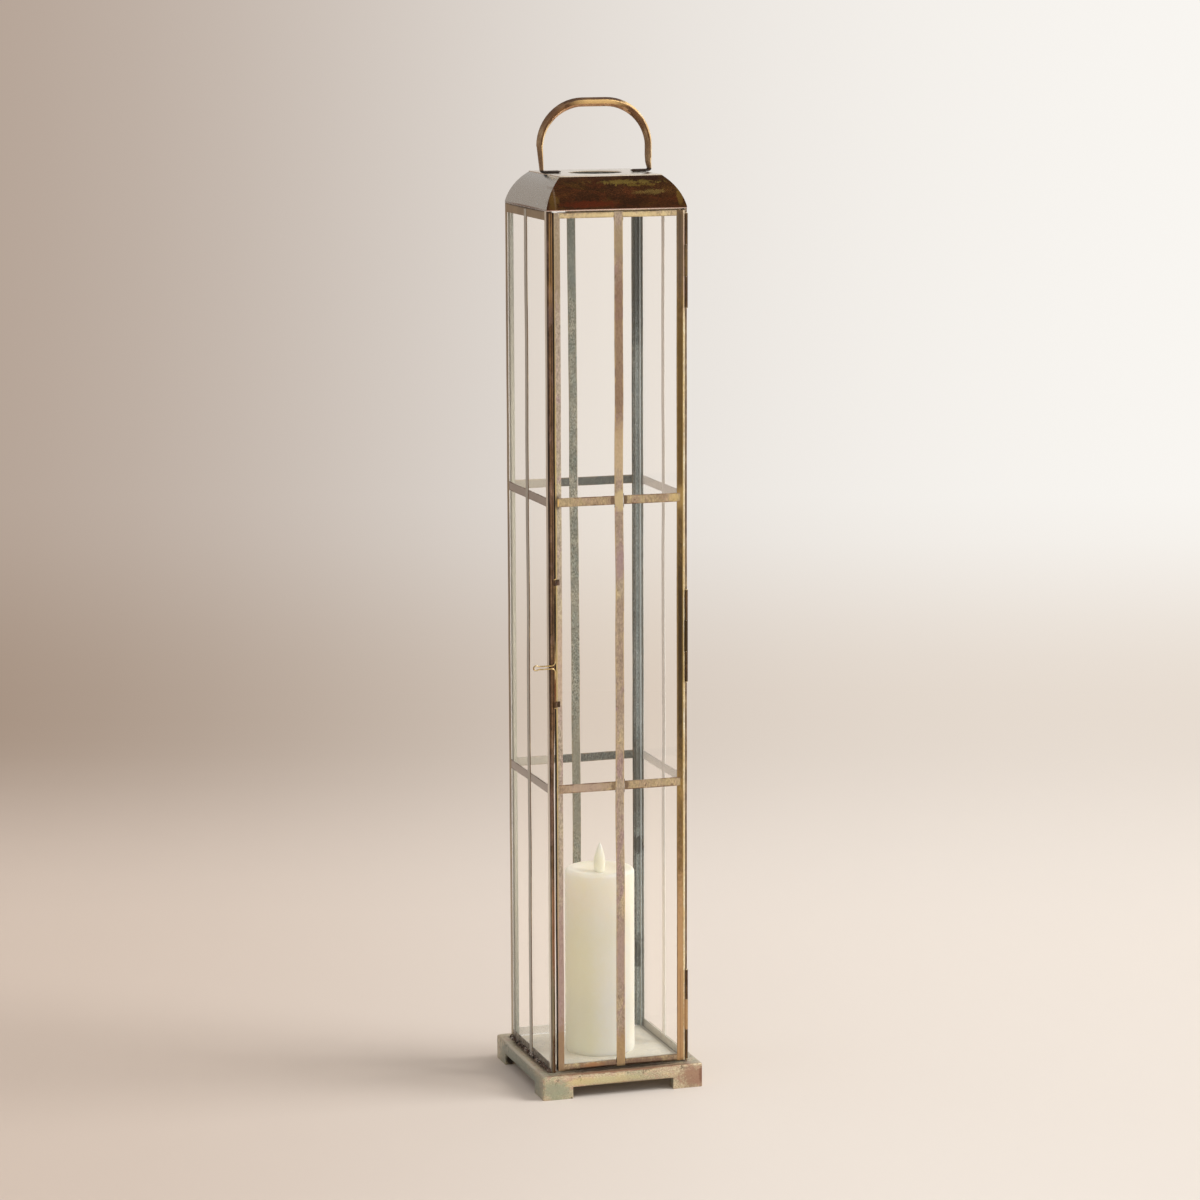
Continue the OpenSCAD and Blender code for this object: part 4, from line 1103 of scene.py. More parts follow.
INNER_GREY = AgedBrass(
    "Inner brass", base=(0.42, 0.43, 0.41), shade=(0.31, 0.33, 0.325), glow=(0.54, 0.55, 0.52), scale=34,
    blush=(0.37, 0.42, 0.42), tarnish=(0.21, 0.23, 0.24), blush_amount=0.5, tarnish_amount=0.4, mottle_amount=0.7,
    pit_amount=0.5, roughness=0.45, coat=0.1, metallic=0.55, edge_amount=0.3, grazing_reflection_amount=0.6, patches=patched(
        ((20, 75, UPPER_BAR_LEVEL), (52, 4, 20), (0.34, 0.375, 0.37), 0.7, 0.8),
        ((-50, 75, UPPER_BAR_LEVEL), (21, 4, 20), (0.81, 0.80, 0.76), 3.0, 0.3),
        ((-50, 75, LOWER_BAR_LEVEL), (21, 4, 20), (0.81, 0.80, 0.76), 3.0, 0.3)))
INNER_TEAL = AgedBrass(
    "Back bar brass", base=(0.59, 0.60, 0.555), shade=(0.49, 0.515, 0.48), glow=(0.69, 0.68, 0.625), scale=34,
    blush=(0.52, 0.575, 0.565), tarnish=(0.38, 0.405, 0.385), blush_amount=0.5, tarnish_amount=0.45,
    mottle_amount=0.8, pit_amount=0.6, roughness=0.45, coat=0.1, metallic=0.5, edge_amount=0.3, patches=patched(
        ((0, 76, 900), (30, 6, 60), (0.50, 0.56, 0.56), 0.6, 1.4),
        ((0, 76, 310), (30, 6, 90), (0.56, 0.55, 0.49), 0.6, 1.4)))
BACK_CORNER = AgedBrass(
    "Back corner brass", base=(0.66, 0.70, 0.70), shade=(0.57, 0.61, 0.61), glow=(0.74, 0.78, 0.78), scale=30,
    blush=(0.60, 0.66, 0.67), tarnish=(0.34, 0.36, 0.36), blush_amount=0.5, mottle_amount=0.4, pit_amount=0.5,
    roughness=0.4, coat=0.2, metallic=0.35, edge_amount=0.2, patches=patched(
        ((66, 74, 880), (20, 14, 110), (0.28, 0.30, 0.30), 0.85, 1.0),
        ((66, 74, 300), (20, 14, 60), (0.44, 0.44, 0.41), 0.7, 1.6),
        ((69, 73, 232), (10, 10, 13), (0.26, 0.26, 0.25), 0.8, 3.0),
        ((67, 73, 110), (9, 10, 20), (0.32, 0.33, 0.31), 0.7, 3.0),
        ((-72, 73, 480), (10, 16, 600), (0.84, 0.83, 0.77), 0.9, 0.3),
        ((71.4, 66, 480), (0.7, 5.2, 600), (0.82, 0.87, 0.88), 0.9, 0.2),
        ((65, 75, 480), (1.2, 3, 600), (0.14, 0.14, 0.13), 0.85, 0.4)))
# Near-white for inner faces that lie in shade: painted light.
INNER_PAINTED_LIGHT = AgedBrass(
    "Inner brass, painted light", base=(1.0, 0.995, 0.98), shade=(0.96, 0.955, 0.94), glow=(1.0, 1.0, 0.99),
    blush=(0.92, 0.93, 0.93), tarnish=(0.84, 0.84, 0.82), tarnish_amount=0.25, mottle_amount=0.2,
    grazing_reflection=(1.0, 1.0, 1.0), roughness=0.6, coat=0.0, metallic=0.0)
RAIL_PALE = AgedBrass(
    "Inner foot rail brass", base=(0.66, 0.70, 0.70), shade=(0.56, 0.61, 0.61), glow=(0.88, 0.90, 0.89), scale=40,
    grain=(1.0, 1.0, 1.0), blush=(0.62, 0.66, 0.66), tarnish=(0.42, 0.44, 0.43), tarnish_amount=0.55,
    mottle_amount=0.6, pit_amount=0.4, roughness=0.45, coat=0.1, metallic=0.3, relief=0.8)
LATCH_GOLD = AgedBrass(
    "Latch wire brass", base=(0.86, 0.74, 0.49), shade=(0.55, 0.42, 0.22), glow=(0.98, 0.92, 0.74), scale=60,
    tarnish=(0.38, 0.26, 0.12), pit_amount=0.1, grazing_reflection=(0.34, 0.24, 0.13), grazing_reflection_amount=0.9, roughness=0.16,
    metallic=0.8, patches=patched(
        # Near-black and dark brown on the shank above and below the loop: painted shade of the gap behind it.
        ((-69.95, -77.8, 516), (1.6, 3, 46), PAINTED_SHADE_BLACK, 0.95, 0.3),
        ((-69.95, -77.8, 436), (1.6, 3, 20), (0.50, 0.31, 0.20), 0.9, 0.6)))
HINGE_BROWN = AgedBrass(
    "Hinge brass", base=(0.38, 0.28, 0.16), shade=(0.27, 0.19, 0.10), glow=(0.50, 0.38, 0.23), scale=44,
    blush=(0.44, 0.28, 0.21), tarnish=(0.24, 0.16, 0.10), tarnish_amount=0.4, grazing_reflection_amount=0.3, edge_amount=0.5,
    patches=patched(
        # Dark right sides of the barrels: painted shade.
        ((77.2, -77, TOP_HINGE_LEVEL), (1.6, 5, 60), PAINTED_SHADE_BLACK, 0.7, 0.5),
        ((77.2, -77, MIDDLE_HINGE_LEVEL), (1.6, 5, 60), PAINTED_SHADE_BLACK, 0.8, 0.5),
        ((77.2, -77, LOW_HINGE_LEVEL), (1.6, 5, 60), (0.30, 0.14, 0.06), 0.8, 0.9)))
EYE_DARK = AgedBrass(
    "Latch eye brass", base=(0.34, 0.25, 0.17), shade=(0.20, 0.14, 0.09), glow=(0.50, 0.38, 0.25), scale=60,
    tarnish=(0.10, 0.07, 0.05), grazing_reflection_amount=0.0)
SOLDER = AgedBrass(
    "Old solder", base=(0.47, 0.40, 0.35), shade=(0.27, 0.20, 0.15), glow=(0.90, 0.88, 0.84), scale=90,
    blush=(0.42, 0.26, 0.18), blush_amount=0.6, tarnish=(0.10, 0.07, 0.055), tarnish_amount=0.7, mottle_amount=0.6,
    pit_amount=0.5, roughness=0.35, coat=0.2, relief=0.8, grazing_reflection_amount=0.1)
PAN_PALE = AgedBrass(
    "Floor pan brass", base=(0.96, 0.94, 0.88), shade=(0.89, 0.885, 0.84), glow=(0.98, 0.965, 0.91), scale=26,
    grain=(1.0, 1.0, 1.0), blush=(0.82, 0.84, 0.84), tarnish=(0.68, 0.68, 0.65), mottle_amount=0.3, pit_amount=0.15,
    roughness=0.42, coat=0.1, metallic=0.3, grazing_reflection_amount=0.2, edge_amount=0.5)


Finish = AgedBrass | ClearGlass | Wax | Moulded


@cache
def painted(finish: Finish) -> Material:
    """Build a finish's material, once."""
    return finish.material()


# Pieces

class Way(Enum):
    """The way that a face looks."""

    LEFT = (-1, 0, 0)
    RIGHT = (1, 0, 0)
    FRONT = (0, -1, 0)
    BACK = (0, 1, 0)
    UP = (0, 0, 1)
    DOWN = (0, 0, -1)


@dataclass(frozen=True)
class Accent:
    """A finish for the faces of a piece that look one way, or for all of them below a height."""

    way: Way
    finish: AgedBrass
    below: float = 0.0
    reach: float = 0.7


def lined(finish: AgedBrass, *ways: Way) -> tuple[Accent, ...]:
    """Give one finish to the faces that look some ways."""
    return tuple(Accent(way, finish) for way in ways)


def linked(name: str, data: bpy.types.ID) -> Object:
    """Make an object and put it into the scene.

    Args:
        name: Its name.
        data: Its mesh, light or camera.

    Returns:
        The object.
    """
    thing = bpy.data.objects.new(name, data)
    bpy.context.scene.collection.objects.link(thing)
    return thing


def add_piece(name: str, form: Form, finish: Finish, slot: Slot, stands_for: str = "",
              accents: Sequence[Accent] = (), smooth: float = 38.0, open_sheet: bool = False) -> Object:
    """Make an object of a form, dress it and tie it to the frame.

    Args:
        name: The piece's name.
        form: Its shape in millimetres.
        finish: Its finish.
        slot: The record's slot, of which only the body that it rides on is used.
        stands_for: The frame node that it replaces, or none for a piece of the looks alone.
        accents: Finishes of the faces that look a certain way.
        smooth: Sharpest angle that is shaded smooth, in degrees.
        open_sheet: Whether the form is an open sheet, whose faces already point the right way.

    Returns:
        The object.
    """
    mesh = bpy.data.meshes.new(name)
    mesh.from_pydata((form.vertices * MM).tolist(), [], form.faces)
    rim = mesh.attributes.new("rim", "FLOAT", "POINT")
    rim.data.foreach_set("value", form.rim.astype(np.float32))
    work = bmesh.new()
    work.from_mesh(mesh)
    bmesh.ops.remove_doubles(work, verts=work.verts, dist=2e-7)
    if not open_sheet:
        bmesh.ops.recalc_face_normals(work, faces=work.faces)
    work.to_mesh(mesh)
    work.free()
    mesh.shade_smooth()
    mesh.set_sharp_from_angle(angle=math.radians(smooth))
    for coat in (finish, *(accent.finish for accent in accents)):
        mesh.materials.append(painted(coat))
    paint_accents(mesh, accents)
    piece = linked(name, mesh)
    label, body = slot.value
    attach(piece, body.value)
    if stands_for:
        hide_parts(stands_for)
    LOG.info("%s: %d faces on %s", name, len(mesh.polygons), body.value)
    return piece


def paint_accents(mesh: bpy.types.Mesh, accents: Sequence[Accent]) -> None:
    """Give each accent's material to its faces: normals near its way by its reach, or centres below its height.

    Args:
        mesh: The mesh, with its first material and then one for each accent.
        accents: The accents.
    """
    if not accents:
        return
    normals = np.empty(len(mesh.polygons) * 3)
    mesh.polygons.foreach_get("normal", normals)
    ways = np.array([accent.way.value for accent in accents], float)
    match = normals.reshape(-1, 3) @ ways.T - [accent.reach for accent in accents]
    index = np.where(match.max(1) > 0, match.argmax(1) + 1, 0)
    centres = np.empty(len(mesh.polygons) * 3)
    mesh.polygons.foreach_get("center", centres)
    for number, accent in enumerate(accents, 1):
        index[centres[2::3] < accent.below * MM] = number
    mesh.polygons.foreach_set("material_index", index.astype(np.int32))


def dress(finish: Finish, *nodes: str) -> None:
    """Give frame nodes a finish.

    Args:
        finish: The finish.
        *nodes: Names of the nodes.
    """
    for node in nodes:
        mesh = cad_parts[node].data
        mesh.materials.clear()
        mesh.materials.append(painted(finish))
        LOG.info("%s: frame node dressed", node)


@dataclass
class Fitted:
    """A sub-assembly that takes its place from a frame node."""

    node: str = field(init=False)
    low: Array = field(init=False)
    high: Array = field(init=False)
    half: float = field(init=False)
    foot: float = field(init=False)
    top: float = field(init=False)

    def __post_init__(self) -> None:
        """Read the node's corners from the frame, its reach to the right, its foot and its top."""
        self.low, self.high = span(self.node)
        self.half, self.foot, self.top = float(self.high[0]), float(self.low[2]), float(self.high[2])


@dataclass
class Plinth(Fitted):
    """The footed plinth: a top sheet rolled down over four arched skirts."""

    node: str = "plinth_top"
    roll: float = 2.0
    corner: float = 2.5
    sheet: float = 1.2
    border: float = 13.0
    skirt_top: float = 23.6
    arch_edge: float = 56.0
    arch_middle: float = 20.0
    arch_height: float = 12.5
    foot_rows: tuple[float, ...] = (0.0, 1.0, 6.0)
    brow: float = 18.0
    fold: float = 11.0
    edge: float = 0.3

    def build(self) -> None:
        """Make the top sheet and the four skirts."""
        self.top_sheet()
        for side in Side:
            self.skirt(side)

    def top_sheet(self) -> None:
        """Make the top: the plan's rounded square, drawn in ring by ring while the height follows the roll."""
        square = self.half * np.array([[-1, -1], [1, -1], [1, 1], [-1, 1]], float)
        plan = fillet(square, self.corner, 5, True)
        roll = np.linspace(0, math.pi / 2, 7)
        drop, tight, under = self.top - self.roll, self.roll - self.sheet, self.top - self.sheet
        outer = np.stack([self.roll * (1 - np.cos(roll)), drop + self.roll * np.sin(roll)], -1)
        inner = np.stack([self.sheet + tight * (1 - np.cos(roll)), drop + tight * np.sin(roll)], -1)
        profile = np.vstack([
            [0.0, self.skirt_top], outer, [self.border, self.top], [self.half, self.top],
            [self.half, under], [self.border, under], inner[::-1], [self.sheet, self.skirt_top]])
        shrink = 1 - profile[:, :1] / self.half
        grid = raised(shrink[..., None] * plan, profile[:, 1])
        add_piece("plinth_top_sheet", tube(grid, ring=True), PLINTH_BRASS, Slot.PLINTH, "plinth_top")

    def skirt(self, side: Side) -> None:
        """Make one skirt: a sheet that runs from mitre to mitre round half of each corner, less its arch.

        Args:
            side: The side it stands on.
        """
        centre = self.half - self.corner
        left = arc((-centre, -centre), self.corner, 1.25 * math.pi, 1.5 * math.pi, 5)
        flat = [[x, -self.half] for x in (-self.arch_edge, -self.arch_middle, self.arch_middle, self.arch_edge)]
        path = np.vstack([left, flat, (left * [-1, 1])[::-1]])
        heights = np.array([*self.foot_rows, self.arch_height, self.brow, self.skirt_top])
        column = 0.5 * (path[1:, 0] + path[:-1, 0])
        row = 0.5 * (heights[1:] + heights[:-1])
        keep = ~((np.abs(column)[None] < self.arch_edge) & (row[:, None] < self.arch_height))
        forms = [sheet_grid(raised(path, heights), keep)]
        low = heights[heights <= self.arch_height]
        for sign in (-1, 1):
            depth = np.array([-self.half, -self.half + self.fold])[::-sign]
            fold = np.stack(np.broadcast_arrays(sign * self.arch_edge, depth[None], low[:, None]), -1)
            forms.append(sheet_grid(fold))
        form = Form.join(forms)
        form.vertices = turned(form.vertices, side)
        name = side.name.lower()
        piece = add_piece(f"plinth_skirt_{name}_sheet", form, PLINTH_BRASS, Slot.PLINTH,
                          f"plinth_skirt_{name}", open_sheet=True)
        thicken(piece, self.sheet, self.edge)


def thicken(piece: Object, sheet: float, edge: float) -> None:
    """Give an open sheet its thickness, inwards, and round its sharp edges.

    Args:
        piece: The sheet.
        sheet: Its thickness in millimetres.
        edge: Width of the rounding in millimetres.
    """
    wall = piece.modifiers.new("Thickness", "SOLIDIFY")
    wall.thickness = sheet * MM
    wall.offset = -1.0
    wall.use_even_offset = True
    bevel = piece.modifiers.new("Soft edges", "BEVEL")
    bevel.width = edge * MM
    bevel.segments = 2
    bevel.limit_method = "ANGLE"
    bevel.angle_limit = math.radians(50)


@dataclass
class Glazing:
    """What the fixed body and the door share: their sheet, and bars that are cut by an upright strip."""

    sheet: float = 1.0
    proud: float = 0.35
    bar_height: float = 9.4
    joint: float = 0.3

    def halves(self, low: Array, high: Array, middle: tuple[Array, Array], tab: float, seed: int) -> list[Form]:
        """Make the halves of two crossbars on one side, which run along the longer way of their box.

        Args:
            low: Lowest corner of all four.
            high: Highest corner of all four.
            middle: Lowest and highest corners of the upright strip that cuts them.
            tab: How far each outer end laps over the stile.
            seed: Seed of their waviness.

        Returns:
            Four forms.
        """
        run = int(np.argmax((high - low)[:2]))
        across = 1 - run
        forms = []
        for level, bottom in enumerate((low[2], high[2] - self.bar_height)):
            outline = bar_outline(np.array([low[across], bottom]), np.array([high[across], bottom + self.bar_height]))
            ends = ((low[run] - tab, middle[0][run] - self.joint), (middle[1][run] + self.joint, high[run] + tab))
            forms += [straight(outline, Axis(run), start, stop,
                               Handwork(amount=0.12, wave=90, seed=seed * 10 + level * 2 + half))
                      for half, (start, stop) in enumerate(ends)]
        return forms


@dataclass
class GlazedBody(Glazing):
    """The fixed part of the body: posts, rails, bars, angles and panes."""

    lap: float = 7.5
    rib_places: Pairs = ((-73.6, 0.6), (-71.9, 0.45))
    rib_flat: float = 0.55
    post_spread: float = 1.3
    post_front: float = 4.5
    spread_foot: float = 330.0
    spread_head: float = 430.0
    back_lean: float = -3.0
    lean_foot: float = 350.0
    lean_head: float = 930.0
    seam: float = 0.9
    old_seam: float = 2.4

    def build(self) -> None:
        """Make the posts and bars, and dress the rest of the body."""
        self.post("front_left", (-1, -1), 0, CORNER_DARK, lined(INNER_GREY, Way.RIGHT, Way.BACK))
        self.post("front_right", (1, -1), 1, FRAME_BROWN, lined(INNER_PAINTED_LIGHT, Way.LEFT) + lined(INNER_GREY, Way.BACK))
        self.post("back_left", (-1, 1), 2, FRAME_BROWN,
                  lined(INNER_PAINTED_LIGHT, Way.RIGHT, Way.FRONT) + lined(HEAD_RAIL_BROWN, Way.LEFT))
        self.post("back_right", (1, 1), 3, FRAME_BROWN, lined(BACK_CORNER, Way.LEFT, Way.FRONT))
        self.ribs()
        outer, narrow = lined(INNER_GREY, Way.LEFT), lined(INNER_PAINTED_LIGHT, Way.FRONT)
        for seed, (name, inward, upright, level, flanks, ends) in enumerate((
                ("left", Way.RIGHT, INNER_GREY, INNER_GREY, outer, ()),
                ("right", Way.LEFT, INNER_PAINTED_LIGHT, INNER_PAINTED_LIGHT, narrow, narrow),
                ("back", Way.FRONT, INNER_TEAL, INNER_GREY, (), ()))):
            self.muntin(name, inward, seed, lined(upright, inward) + flanks)
            self.crossbars(name, seed, lined(level, inward) + ends)
        dress(HEAD_RAIL_BROWN, "top_rail_left", "top_rail_right", "top_rail_back")
        dress(FRAME_BROWN, "door_head_stop", "glass_angles_front")
        dress(RAIL_DARK, "bottom_rail_left")
        dress(RAIL_PALE, "bottom_rail_right")
        dress(INNER_PAINTED_LIGHT, "bottom_rail_back")
        dress(BACK_CORNER, "glass_angles_back")
        dress(PAN_PALE, "floor_pan")
        dress(ClearGlass(), "glass_left", "glass_right", "glass_back")
        self.seams()

    def spread(self, points: Array, low: Array) -> None:
        """Widen the latch post's front towards the top, a smooth step in height times the share across it.

        Args:
            points: The points to move, in place.
            low: The post's lowest corner.
        """
        front = points[:, 1] < low[1] + self.sheet + 0.1
        across = np.clip((points[:, 0] - low[0]) / self.post_front, 0, 1) * front
        points[:, 0] += self.post_spread * ease(points[:, 2], self.spread_foot, self.spread_head) * across

    def lean(self, height: Array) -> Array:
        """Give how far the back strip leans sideways at some heights."""
        return self.back_lean * np.clip((height - self.lean_foot) / (self.lean_head - self.lean_foot), 0, 1)

    def post(self, name: str, corner: tuple[int, int], seed: int, finish: AgedBrass,
             accents: Sequence[Accent]) -> None:
        """Make a corner post, an angle carried up from the plinth to the roof.

        Args:
            name: Which post.
            corner: The corner of the plan that its bend is at.
            seed: Seed of its waviness.
            finish: Its finish.
            accents: The finishes of its inner faces.
        """
        low, high = span(f"post_{name}")
        outline = angle_outline(low[:2], high[:2], corner, self.sheet)
        form = straight(outline, Axis.Z, low[2], high[2], Handwork(amount=0.08, wave=180, seed=10 + seed))
        if name == "front_left":
            self.spread(form.vertices, low)
        add_piece(f"post_{name}_sheet", form, finish, Slot.FRAME, f"post_{name}", accents)

    def ribs(self) -> None:
        """Make the two rolled ribs down the front of the latch post, flattened rounds that are half in the sheet."""
        low, high = span("post_front_left")
        hand = Handwork(amount=0.08, wave=180, seed=10)
        form = Form.join([
            straight([x, low[1]] + circle(12) * [radius, self.rib_flat * radius], Axis.Z, low[2] + 0.5,
                     high[2] - 2, hand)
            for x, radius in self.rib_places])
        self.spread(form.vertices, low)
        add_piece("post_front_left_ribs", form, RIB_BROWN, Slot.FRAME)

    def muntin(self, side: str, inward: Way, seed: int, accents: Sequence[Accent]) -> None:
        """Make a side's upright strip, which stands proud and laps over both rails.

        Args:
            side: Which side.
            inward: The way that its inner face looks.
            seed: Seed of its waviness.
            accents: The finishes of its inner face and its flanks.
        """
        low, high = np.array(span(f"muntin_{side}")) - self.proud * np.array(inward.value)
        form = straight(bar_outline(low[:2], high[:2]), Axis.Z, low[2] - self.lap, high[2] + self.lap,
                        Handwork(amount=0.25, wave=260, seed=20 + seed))
        if side == "back":
            form.vertices[:, 0] += self.lean(form.vertices[:, 2])
        add_piece(f"muntin_{side}_strip", form, FRAME_BROWN, Slot.FRAME, f"muntin_{side}", accents)

    def crossbars(self, side: str, seed: int, accents: Sequence[Accent]) -> None:
        """Make a side's crossbars, each cut in two by the upright strip. At the back they follow its lean.

        Args:
            side: Which side.
            seed: Seed of their waviness.
            accents: The finishes of their inner faces.
        """
        low, high = span(f"crossbars_{side}")
        forms = self.halves(low, high, span(f"muntin_{side}"), 0.0, 30 + seed)
        if side == "back":
            for form in forms[2:]:
                inner_ends = np.abs(form.vertices[:, 0]) < 20
                form.vertices[inner_ends, 0] += self.lean(np.array(high[2]))
        add_piece(f"crossbars_{side}_strips", Form.join(forms), SIDE_BAR, Slot.FRAME, f"crossbars_{side}", accents)

    def seams(self) -> None:
        """Lay solder along the foot of each fixed side."""
        half = span("post_back_left")[1][1]
        foot = span("plinth_top")[1][2]
        for side, radius in ((Side.LEFT, self.old_seam), (Side.RIGHT, self.seam), (Side.BACK, self.seam)):
            ends = np.array([[end, -half - 0.1, foot + 0.4] for end in (1 - half, half - 1)])
            form = solder_seam(ends, radius, 0.55, 40 + side.value)
            form.vertices = turned(form.vertices, side)
            add_piece(f"foot_seam_{side.name.lower()}", form, SOLDER, Slot.FRAME)


def solder_seam(path: Array, radius: float, lump: float, seed: int) -> Form:
    """Make a seam of solder: a round carried along a path, its radius swelling by a sum of four sines.

    Args:
        path: Its corners.
        radius: Its mean radius.
        lump: Share by which the radius swells and shrinks.
        seed: Seed of its lumps.

    Returns:
        The closed form, thin at both ends.
    """
    length = lengths(path)[-1]
    along = np.linspace(0, length, max(6, int(length / 1.2)))
    points = sampled(path, along)
    way = unit(np.gradient(points, axis=0))
    side = unit(np.cross(way, [0.13, 0.21, 0.97]))
    phase = np.random.default_rng(seed).uniform(0, 2 * math.pi, 4)
    waves = np.sin(along[:, None] * 2 * math.pi / np.array([3.1, 5.3, 11.0, 23.0]) + phase).sum(1) / 2.5
    ends = np.clip(np.minimum(along, length - along) / radius, 0.08, 1) ** 0.5
    swell = radius * (1 + lump * waves).clip(0.25) * ends
    return tube(carry(circle(10) * swell[:, None, None], points, side, np.cross(side, way)))


@dataclass
class Roof(Fitted):
    """The coved roof: four mitred sides with a hem, and a flat crown with a round vent."""

    node: str = "roof_front"
    sheet: float = 1.0
    hem: float = 2.0
    fold: float = 6.0
    edge: float = 0.3
    radius: float = 55.6
    vent: float = 28.0
    dent: float = 0.12

    def build(self) -> None:
        """Make the four sides and the crown."""
        for side in Side:
            self.facet(side)
        self.crown_sheet()

    def section(self) -> Array:
        """Give the outline of a side: the outer cove up to the crown and the inner one back, over the folded hem.

        The cove is an arc. Its centre lies on the middle of the chord's normal, at the root of the
        radius squared less the half chord squared.

        Returns:
            Distance in from the eave, and height.
        """
        foot = np.array([self.half, self.foot + self.hem])
        head = np.array([span("crown_plate")[1][0], self.top])
        middle, chord = (foot + head) / 2, foot - head
        length = np.linalg.norm(chord)
        away = np.array([chord[1], -chord[0]]) / length
        centre = middle + away * math.sqrt(self.radius**2 - length**2 / 4)
        first, last = (math.atan2(*(point - centre)[::-1]) for point in (foot, head))
        outer = arc(centre, self.radius, first, last, 18)
        inner = arc(centre, self.radius - self.sheet, first, last, 18)
        inner[:, 1] = np.minimum(inner[:, 1], self.top)
        shelf, lip = self.foot + self.sheet, self.half - self.fold
        hem = [[self.half - self.sheet, shelf], [lip, shelf], [lip, self.foot],
               [self.half - self.edge, self.foot], [self.half, self.foot + self.edge]]
        points = np.vstack([outer, inner[::-1], hem])
        return np.stack([self.half - points[:, 0], points[:, 1]], -1)

    def facet(self, side: Side) -> None:
        """Make one side: at each height it is as wide as the roof there, and faint dents bend it inwards.

        Args:
            side: Where it is.
        """
        section = self.section()
        share = np.linspace(-1, 1, 25)[:, None]
        wave = np.sin(5 * share + side.value) + 0.6 * np.sin(9 * share + 2 * side.value + section[:, 1] / 9)
        dent = self.dent * wave * (1 - share**2) * np.clip((section[:, 1] - self.foot - 3) / 8, 0, 1)
        reach = self.half - section[:, 0]
        grid = np.stack(np.broadcast_arrays(share * reach, dent - reach, section[:, 1]), -1)
        name = side.name.lower()
        add_piece(f"roof_{name}_sheet", tube(turned(grid, side)), ROOF_BRONZE, Slot.ROOF,
                  f"roof_{name}", self.lining(side), smooth=30)

    @staticmethod
    def lining(side: Side) -> tuple[Accent, ...]:
        """Give the finishes of a side's inner faces, which look down and towards the opposite side."""
        inward = {Side.FRONT: Way.BACK, Side.BACK: Way.FRONT, Side.LEFT: Way.RIGHT, Side.RIGHT: Way.LEFT}
        return lined(INNER_GREY if side is Side.BACK else INNER_PAINTED_LIGHT, Way.DOWN, inward[side])

    def crown_sheet(self) -> None:
        """Make the crown: rings that pass from the round vent to the square edge, above and below."""
        (_, _, bottom), (half, _, top) = span("crown_plate")
        ring = circle(128)
        square = half / np.abs(ring).max(1)
        loop = np.array([[0, bottom], [0, top - self.edge], [0.012, top], [0.5, top], [0.985, top],
                         [1, top - self.edge], [1, bottom], [0.5, bottom]])
        radius = self.vent + loop[:, :1] * (square - self.vent)
        grid = raised(radius[..., None] * ring, loop[:, 1])
        add_piece("crown_sheet", tube(grid, ring=True), CROWN_BRASS, Slot.CROWN, "crown_plate")


@dataclass
class Handle(Fitted):
    """The bail handle: one bar with round edges, bent to an arch and beaten flat at its feet."""

    node: str = "handle"
    thick: float = 7.0
    foot_thick: float = 2.6
    foot_long: float = 20.0
    heel: float = 2.2
    shoulder: float = 46.5
    left_inset: float = 5.5
    right_inset: float = 3.3
    right_tuck: float = 1.2
    left_rise: float = 27.0
    right_rise: float = 9.0
    left_sway: float = 75.0
    right_sway: float = 12.0
    left_thicks: Pairs = ((-3, 2.6), (1, 2.9), (10, 4.4), (34, 7.0))
    right_thicks: Pairs = ((-3, 2.6), (0, 3.4), (5, 5.2), (14, 7.0))
    widths: Pairs = ((1, 12.0), (10, 11.0), (34, 10.0))
    tip: float = 1.5
    swell: float = 2.6
    dark_foot: float = 3.4

    def centre_line(self) -> Array:
        """Give the bar's middle line as x and z, from the end of the left foot to the end of the right one.

        Returns:
            The points.
        """
        floor = self.foot + self.foot_thick / 2
        left = self.low[0] + self.left_inset
        right = self.high[0] - self.right_inset
        leg = self.high[0] - self.thick / 2
        top = self.top - self.thick / 2
        corners = np.array([
            [left + self.foot_long, floor], [left, floor], [-leg, floor + self.left_rise], [-leg, top],
            [leg - self.right_tuck, top], [leg - self.right_tuck, floor + self.right_rise], [right, floor],
            [right - self.foot_long, floor]])
        radii = [0, self.heel, self.left_sway, self.shoulder, self.shoulder, self.right_sway, self.heel, 0]
        return fillet(corners, radii, 14, False)

    def build(self) -> None:
        """Make the bar: an ellipse whose axes change along the middle line, and that swells inwards in the arch."""
        line, places = refined(self.centre_line(), 120)
        edge = np.minimum(places, places[-1] - places)
        past = edge - self.foot_long
        thick = np.where(line[:, 0] < 0, taper(past, self.left_thicks), taper(past, self.right_thicks))
        swell = self.swell * np.clip((line[:, 1] - self.foot - 30) / 40, 0, 1)
        tip = np.clip(edge / self.tip, 0.3, 1) ** 0.5
        axes = 0.5 * np.stack([thick + swell, taper(past, self.widths)], -1) * tip[:, None]
        outline = circle(36) * axes[:, None]
        outline[..., 0] -= 0.5 * swell[:, None]
        # The faces that look right, left, up and down take the lit and shaded copies: painted light and shade.
        add_piece("handle_bar", bent_rod(line, places, 0.0, outline), HANDLE_BRASS, Slot.HANDLE,
                  "handle", (
                      Accent(Way.RIGHT, HANDLE_LIT, reach=0.4), Accent(Way.LEFT, HANDLE_DIM, reach=0.12),
                      Accent(Way.UP, HANDLE_SHADED_TOP, reach=0.45), Accent(Way.DOWN, HANDLE_LIT_UNDER, reach=0.3),
                      Accent(Way.DOWN, HANDLE_FOOT, self.foot + self.dark_foot)), smooth=60)


